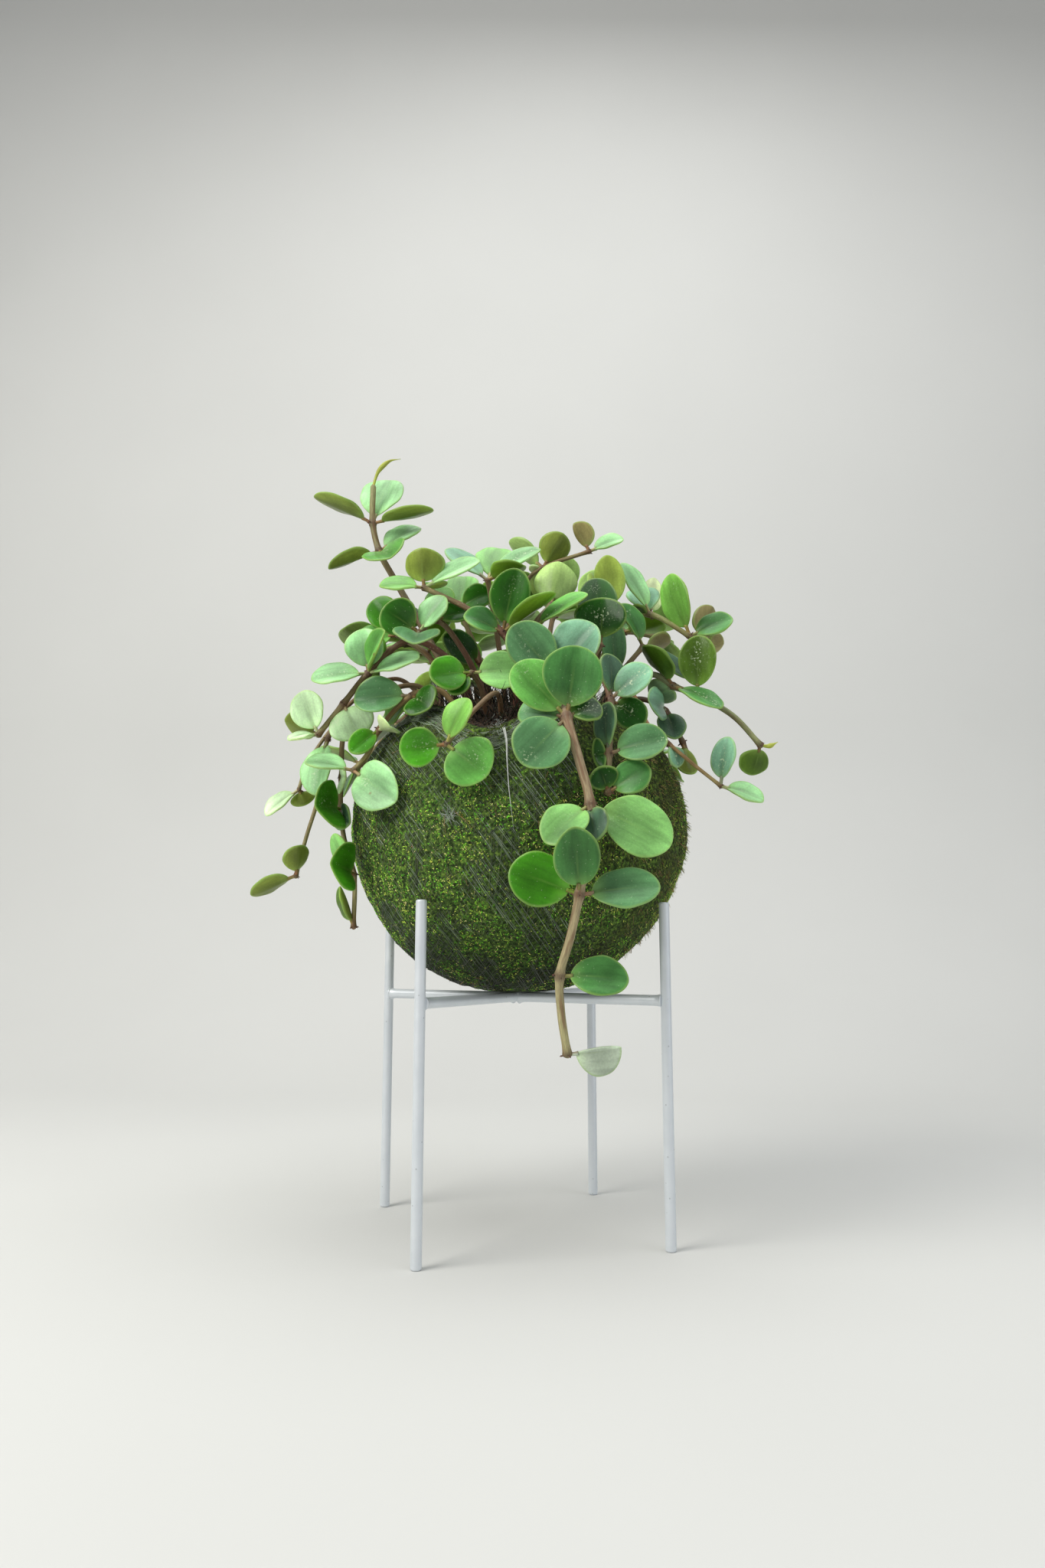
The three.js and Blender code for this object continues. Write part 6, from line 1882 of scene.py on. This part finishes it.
def pressed_moss():
    """Sheet moss pressed flat under winding thread: dark and bright green grain between fine parallel lines
    of the windings, brown and dry towards the top and the right, and painted darker at its foot as shade."""
    material, add, shader = new_material("sheet_moss_wound_tight", **{
        "Roughness": 0.93, "Specular IOR Level": 0.2})
    place = add("TexCoord").outputs["Object"]
    grain = add("TexNoise", {"Vector": place, "Scale": 620, "Detail": 5, "Roughness": 0.65})
    ramp = add("ValToRGB", {"Fac": grain})
    stops = [(0.28, "#0f160a"), (0.42, "#273816"), (0.52, "#465e2a"), (0.62, "#698c36"), (0.76, "#a2c04e")]
    for number, (position, code) in enumerate(stops):
        stop = ramp.color_ramp.elements[number] if number < 2 else ramp.color_ramp.elements.new(position)
        stop.position = position
        stop.color = colour(code)
    skin = ramp
    patches = add("TexNoise", {"Vector": place, "Scale": 75, "Detail": 2})
    height = grain
    for direction, spacing, code, strength in WINDING_LINES:
        line = winding_lines(add, place, patches, direction, spacing)
        share = add("Math", (line, strength), operation="MULTIPLY")
        skin = add("Mix", {0: share, 6: skin, 7: colour(code)}, **COLOURS)
        height = add("Math", (line, 0.25, height), operation="MULTIPLY_ADD")
    away = add("SeparateXYZ", (place,))
    rightward = add("MapRange", (away.outputs["X"], 0.0, 0.08, 0, 0.34), **SMOOTH)
    upward = add("MapRange", (away.outputs["Z"], 0.2, 0.25, 0, 0.3), **SMOOTH)
    dryness = add("Math", (patches, add("Math", (rightward, upward), operation="ADD")), operation="ADD")
    dry = add("MapRange", (dryness, 0.52, 0.95, 0, 0.8), **SMOOTH)
    brown = add("Mix", {0: 0.85, 6: skin, 7: colour("#8b6c45")}, blend_type="MULTIPLY", **COLOURS)
    brown = add("VectorMath", {0: brown, 3: 1.9}, operation="SCALE")
    skin = add("Mix", {0: dry, 6: skin, 7: brown}, **COLOURS)
    # Painted shade: darker towards the foot of the ball.
    low, high = (level / 1000 for level in SHADED_FOOT_HEIGHTS)
    foot_shade = add("MapRange", (away.outputs["Z"], low, high, 1 - FOOT_SHADE, 1), **SMOOTH)
    skin = add("VectorMath", {0: skin, 3: foot_shade}, operation="SCALE")
    bump = add("Bump", {"Height": height, "Strength": 0.9, "Distance": 0.0012})
    connect(shader, Base_Color=skin, Normal=bump)
    return material


def toned_material(name, scale, spread, **values):
    """A material whose colour is the tone of each small piece, made uneven by noise of a scale and a
    spread."""
    material, add, shader = new_material(name, **values)
    tone = add("Attribute", attribute_name="tone").outputs["Color"]
    grain = add("TexNoise", {"Vector": add("TexCoord").outputs["Object"], "Scale": scale, "Detail": 2})
    uneven = add("MapRange", (grain, 0.3, 0.7, 1 - spread, 1 + spread))
    connect(shader, Base_Color=add("VectorMath", {0: tone, 3: uneven}, operation="SCALE"))
    return material


def moss_leaflet():
    """Live leaflets of moss, as grown: soft and a little see-through, so that bright ones seem to glow."""
    return toned_material("moss_leaflets_as_grown", 900, 0.25, **{
        "Roughness": 0.7, "Specular IOR Level": 0.2, "Subsurface Weight": 0.2,
        "Subsurface Radius": (0.4, 1.0, 0.15), "Subsurface Scale": 0.0008})


def drawn_thread():
    """Drawn nylon thread, dyed green and dulled by watering, so it takes a soft line of light."""
    return toned_material("green_nylon_thread_drawn", 260, 0.3, **{"Roughness": 0.55, "IOR": 1.53})


def dry_fibre():
    """Dead moss strands and bits of grass, dried in the air: straw and brown, with no gloss."""
    return toned_material("dead_moss_fibre_dried", 700, 0.3, **{"Roughness": 0.85})


def peat_crumb():
    """Crumbs of peat and bark, broken up by hand: dark, and uneven in colour from piece to piece."""
    return toned_material("peat_crumbs_broken", 900, 0.35, **{"Roughness": 0.97})


def damp_peat():
    """Damp peat, pressed in by hand: brown on its crumbs, and nearly black in its hollows, which is painted
    shade.
    """
    material, add, shader = new_material("damp_peat_pressed", **{"Roughness": 0.96})
    place = add("TexCoord").outputs["Object"]
    coarse = add("TexNoise", {"Vector": place, "Scale": 260, "Detail": 6, "Roughness": 0.7})
    crumbs = add("TexVoronoi", {"Vector": place, "Scale": 700})
    depth = add("Math", (coarse, crumbs.outputs["Distance"]), operation="SUBTRACT")
    # The height that gives the bump also paints the hollows nearly black, as shade.
    share = add("MapRange", (depth, -0.25, 0.45, 0, 1))
    skin = add("Mix", {0: share, 6: colour("#150f0b"), 7: colour("#5d4632")}, **COLOURS)
    bump = add("Bump", {"Height": depth, "Strength": 1, "Distance": 0.0012})
    connect(shader, Base_Color=skin, Normal=bump)
    return material


def clouded_material(name, scale, detail, first, second, **values):
    """A material whose colour drifts between two, by noise of a scale. It gives what a new material does, and
    the noise and the colour."""
    material, add, shader = new_material(name, **values)
    cloud = add("TexNoise", {"Vector": add("TexCoord").outputs["Object"], "Scale": scale, "Detail": detail})
    skin = add("Mix", {0: cloud, 6: colour(first), 7: colour(second)}, **COLOURS)
    connect(shader, Base_Color=skin)
    return material, add, shader, cloud, skin


def lime_run():
    """Lime left by hard water that ran down and dried: chalky white, thinner in places."""
    return clouded_material("lime_dried_from_water", 420, 3, "#d3d9cf", "#ffffff", **{"Roughness": 0.9})[0]


def painted_steel():
    """Steel rod under a sprayed silver paint: pale and even, with a soft sheen, the fine orange peel of the
    spray, and a few darker specks."""
    material, add, shader, cloud, skin = clouded_material(
        "steel_rod_sprayed_silver", 90, 3, "#d3dae0", "#e6ebef", **{"Metallic": 0.3})
    place = add("TexCoord").outputs["Object"]
    specks = add("TexVoronoi", {"Vector": place, "Scale": 210})
    speck = add("MapRange", (specks.outputs["Distance"], 0.05, 0.1, 0.35, 0))
    skin = add("Mix", {0: speck, 6: skin, 7: colour("#6c6f70")}, **COLOURS)
    peel = add("TexNoise", {"Vector": place, "Scale": 900, "Detail": 1})
    bump = add("Bump", {"Height": peel, "Strength": 0.3, "Distance": 0.0002})
    connect(shader, Base_Color=skin, Roughness=add("MapRange", (cloud, 0, 1, 0.32, 0.5)), Normal=bump)
    return material


def matt_paper():
    """Pale matt paper, rolled out under and behind: very faintly cloudy, with no gloss."""
    return clouded_material("matt_paper_rolled_out", 4, 2, "#d2d3d0", "#d8d9d6", **{"Roughness": 0.95})[0]


# Stage

PAPER_HALF_WIDTH = 1600
PAPER_FRONT = -1500
PAPER_BACK = 900                      # where the paper's curve ends at the wall
PAPER_CURVE = 450
PAPER_TOP = 1900
PAPER_TURNS = 24

# Each light has its place and the point that it looks at in millimetres, its width in metres, its power in
# watts and its colour

LIGHTS = {
    "window_soft_light": ((-900, -750, 1050), (0, 0, 200), 0.9, 16, "#fffcf6"),
    "ceiling_soft_light": ((100, -100, 1500), (0, 0, 150), 1.4, 11, "#ffffff"),
    "right_fill_light": ((1000, -500, 500), (0, 0, 180), 1.2, 2.5, "#f3f7ff"),
}
WORLD_TINT = "#f2f3f5"
WORLD_STRENGTH = 0.33


def paper_sweep(material):
    """The floor and the wall as one sheet of paper: flat, then round a quarter circle, then upright."""
    turn = np.linspace(0, np.pi / 2, PAPER_TURNS)
    middle = PAPER_BACK - PAPER_CURVE
    profile = [[PAPER_FRONT, 0]]
    profile += [[middle + PAPER_CURVE * np.sin(angle), PAPER_CURVE * (1 - np.cos(angle))] for angle in turn]
    profile += [[PAPER_BACK, PAPER_TOP]]
    profile = np.array(profile)
    points = np.zeros((2, len(profile), 3))
    points[:, :, 0] = [[-PAPER_HALF_WIDTH], [PAPER_HALF_WIDTH]]
    points[:, :, 1:] = profile
    row = np.arange(len(profile) - 1)
    faces = np.stack([row, row + len(profile), row + len(profile) + 1, row + 1], axis=-1)
    mesh = bpy.data.meshes.new("paper_sweep")
    mesh.from_pydata(((points.reshape(-1, 3) + AXIS) / 1000).tolist(), [], faces.tolist())
    mesh.polygons.foreach_set("use_smooth", np.ones(len(faces), bool))
    mesh.materials.append(material)
    sheet = bpy.data.objects.new("paper_sweep", mesh)
    bpy.context.scene.collection.objects.link(sheet)


def soft_lights():
    """Large soft lights: the brightest at the front left, and a pale world all round."""
    for name, (place, target, width, power, code) in LIGHTS.items():
        light = bpy.data.lights.new(name, "AREA")
        light.shape = "DISK"
        light.size = width
        light.energy = power
        light.color = to_linear(code)
        lamp = bpy.data.objects.new(name, light)
        lamp.location = (np.array(place) + AXIS) / 1000
        direction = Vector(np.array(target) - np.array(place))
        lamp.rotation_euler = direction.to_track_quat("-Z", "Y").to_euler()
        bpy.context.scene.collection.objects.link(lamp)
    world = bpy.data.worlds.new("pale_room")
    world.use_nodes = True
    world.node_tree.nodes["Background"].inputs["Color"].default_value = colour(WORLD_TINT)
    world.node_tree.nodes["Background"].inputs["Strength"].default_value = WORLD_STRENGTH
    bpy.context.scene.world = world


def photo_camera():
    """The camera where the photograph was taken from. Colours go to the picture with no film curve."""
    bpy.context.scene.view_settings.view_transform = "Standard"
    camera = bpy.data.cameras.new("photo_camera")
    camera.lens = CAMERA_LENS
    camera.sensor_width = CAMERA_SENSOR
    camera.clip_start, camera.clip_end = CAMERA_REACH
    holder = bpy.data.objects.new("photo_camera", camera)
    holder.location = (np.array(CAMERA_PLACE) + AXIS) / 1000
    holder.rotation_euler = Euler(np.radians(CAMERA_TURN))
    bpy.context.scene.collection.objects.link(holder)
    bpy.context.scene.camera = holder


# Assembly

DRAWS_SEED = 27                       # of all draws that only the scene makes


def build_plant(rng):
    """Every stem with its leaves."""
    leaf_materials = [waxy_leaf(), stem_bark()]
    stems, leaves = grow_plant()
    tone_leaves(stems, leaves, rng)
    for number, stem in enumerate(stems):
        own_leaves = [leaf for leaf in leaves if leaf["stem"] == number]
        grown_piece(stem, own_leaves, leaf_materials, rng)


def build_ball(rng):
    """The moss with its thread, sprigs and strands, and the soil in it."""
    leaflet = moss_leaflet()
    make_piece("wound_moss", [wound_moss()], [pressed_moss()], ["moss_shell"])
    for name, tones, bright, sprig_count in SPRIG_KINDS:
        make_piece(name, [sprigs(tones, bright, sprig_count, rng)], [leaflet], smooth=False)
    make_piece("winding_thread", [thread_part(rng)], [drawn_thread()])
    make_piece("dry_moss_strands", [strand_part(rng)], [dry_fibre()])
    make_piece("caught_lint", lint_part(rng), [dry_fibre()])
    make_piece("lime_streak", streak_part(), [lime_run()])
    make_piece("peat_soil", [peat_soil()], [damp_peat()], ["soil_core"])
    make_piece("fine_roots_and_painted_shade", [root_part(rng)], [dry_fibre()])
    make_piece("peat_crumbs", [crumb_part(rng)], [peat_crumb()], smooth=False)


def build_stand():
    """The welded stand."""
    paint = painted_steel()
    for name, rod in stand_rods().items():
        make_piece(f"{name}_painted", [rod], [paint], [name])


rng = np.random.default_rng(DRAWS_SEED)
build_stand()
build_ball(rng)
build_plant(rng)
paper_sweep(matt_paper())
soft_lights()
photo_camera()
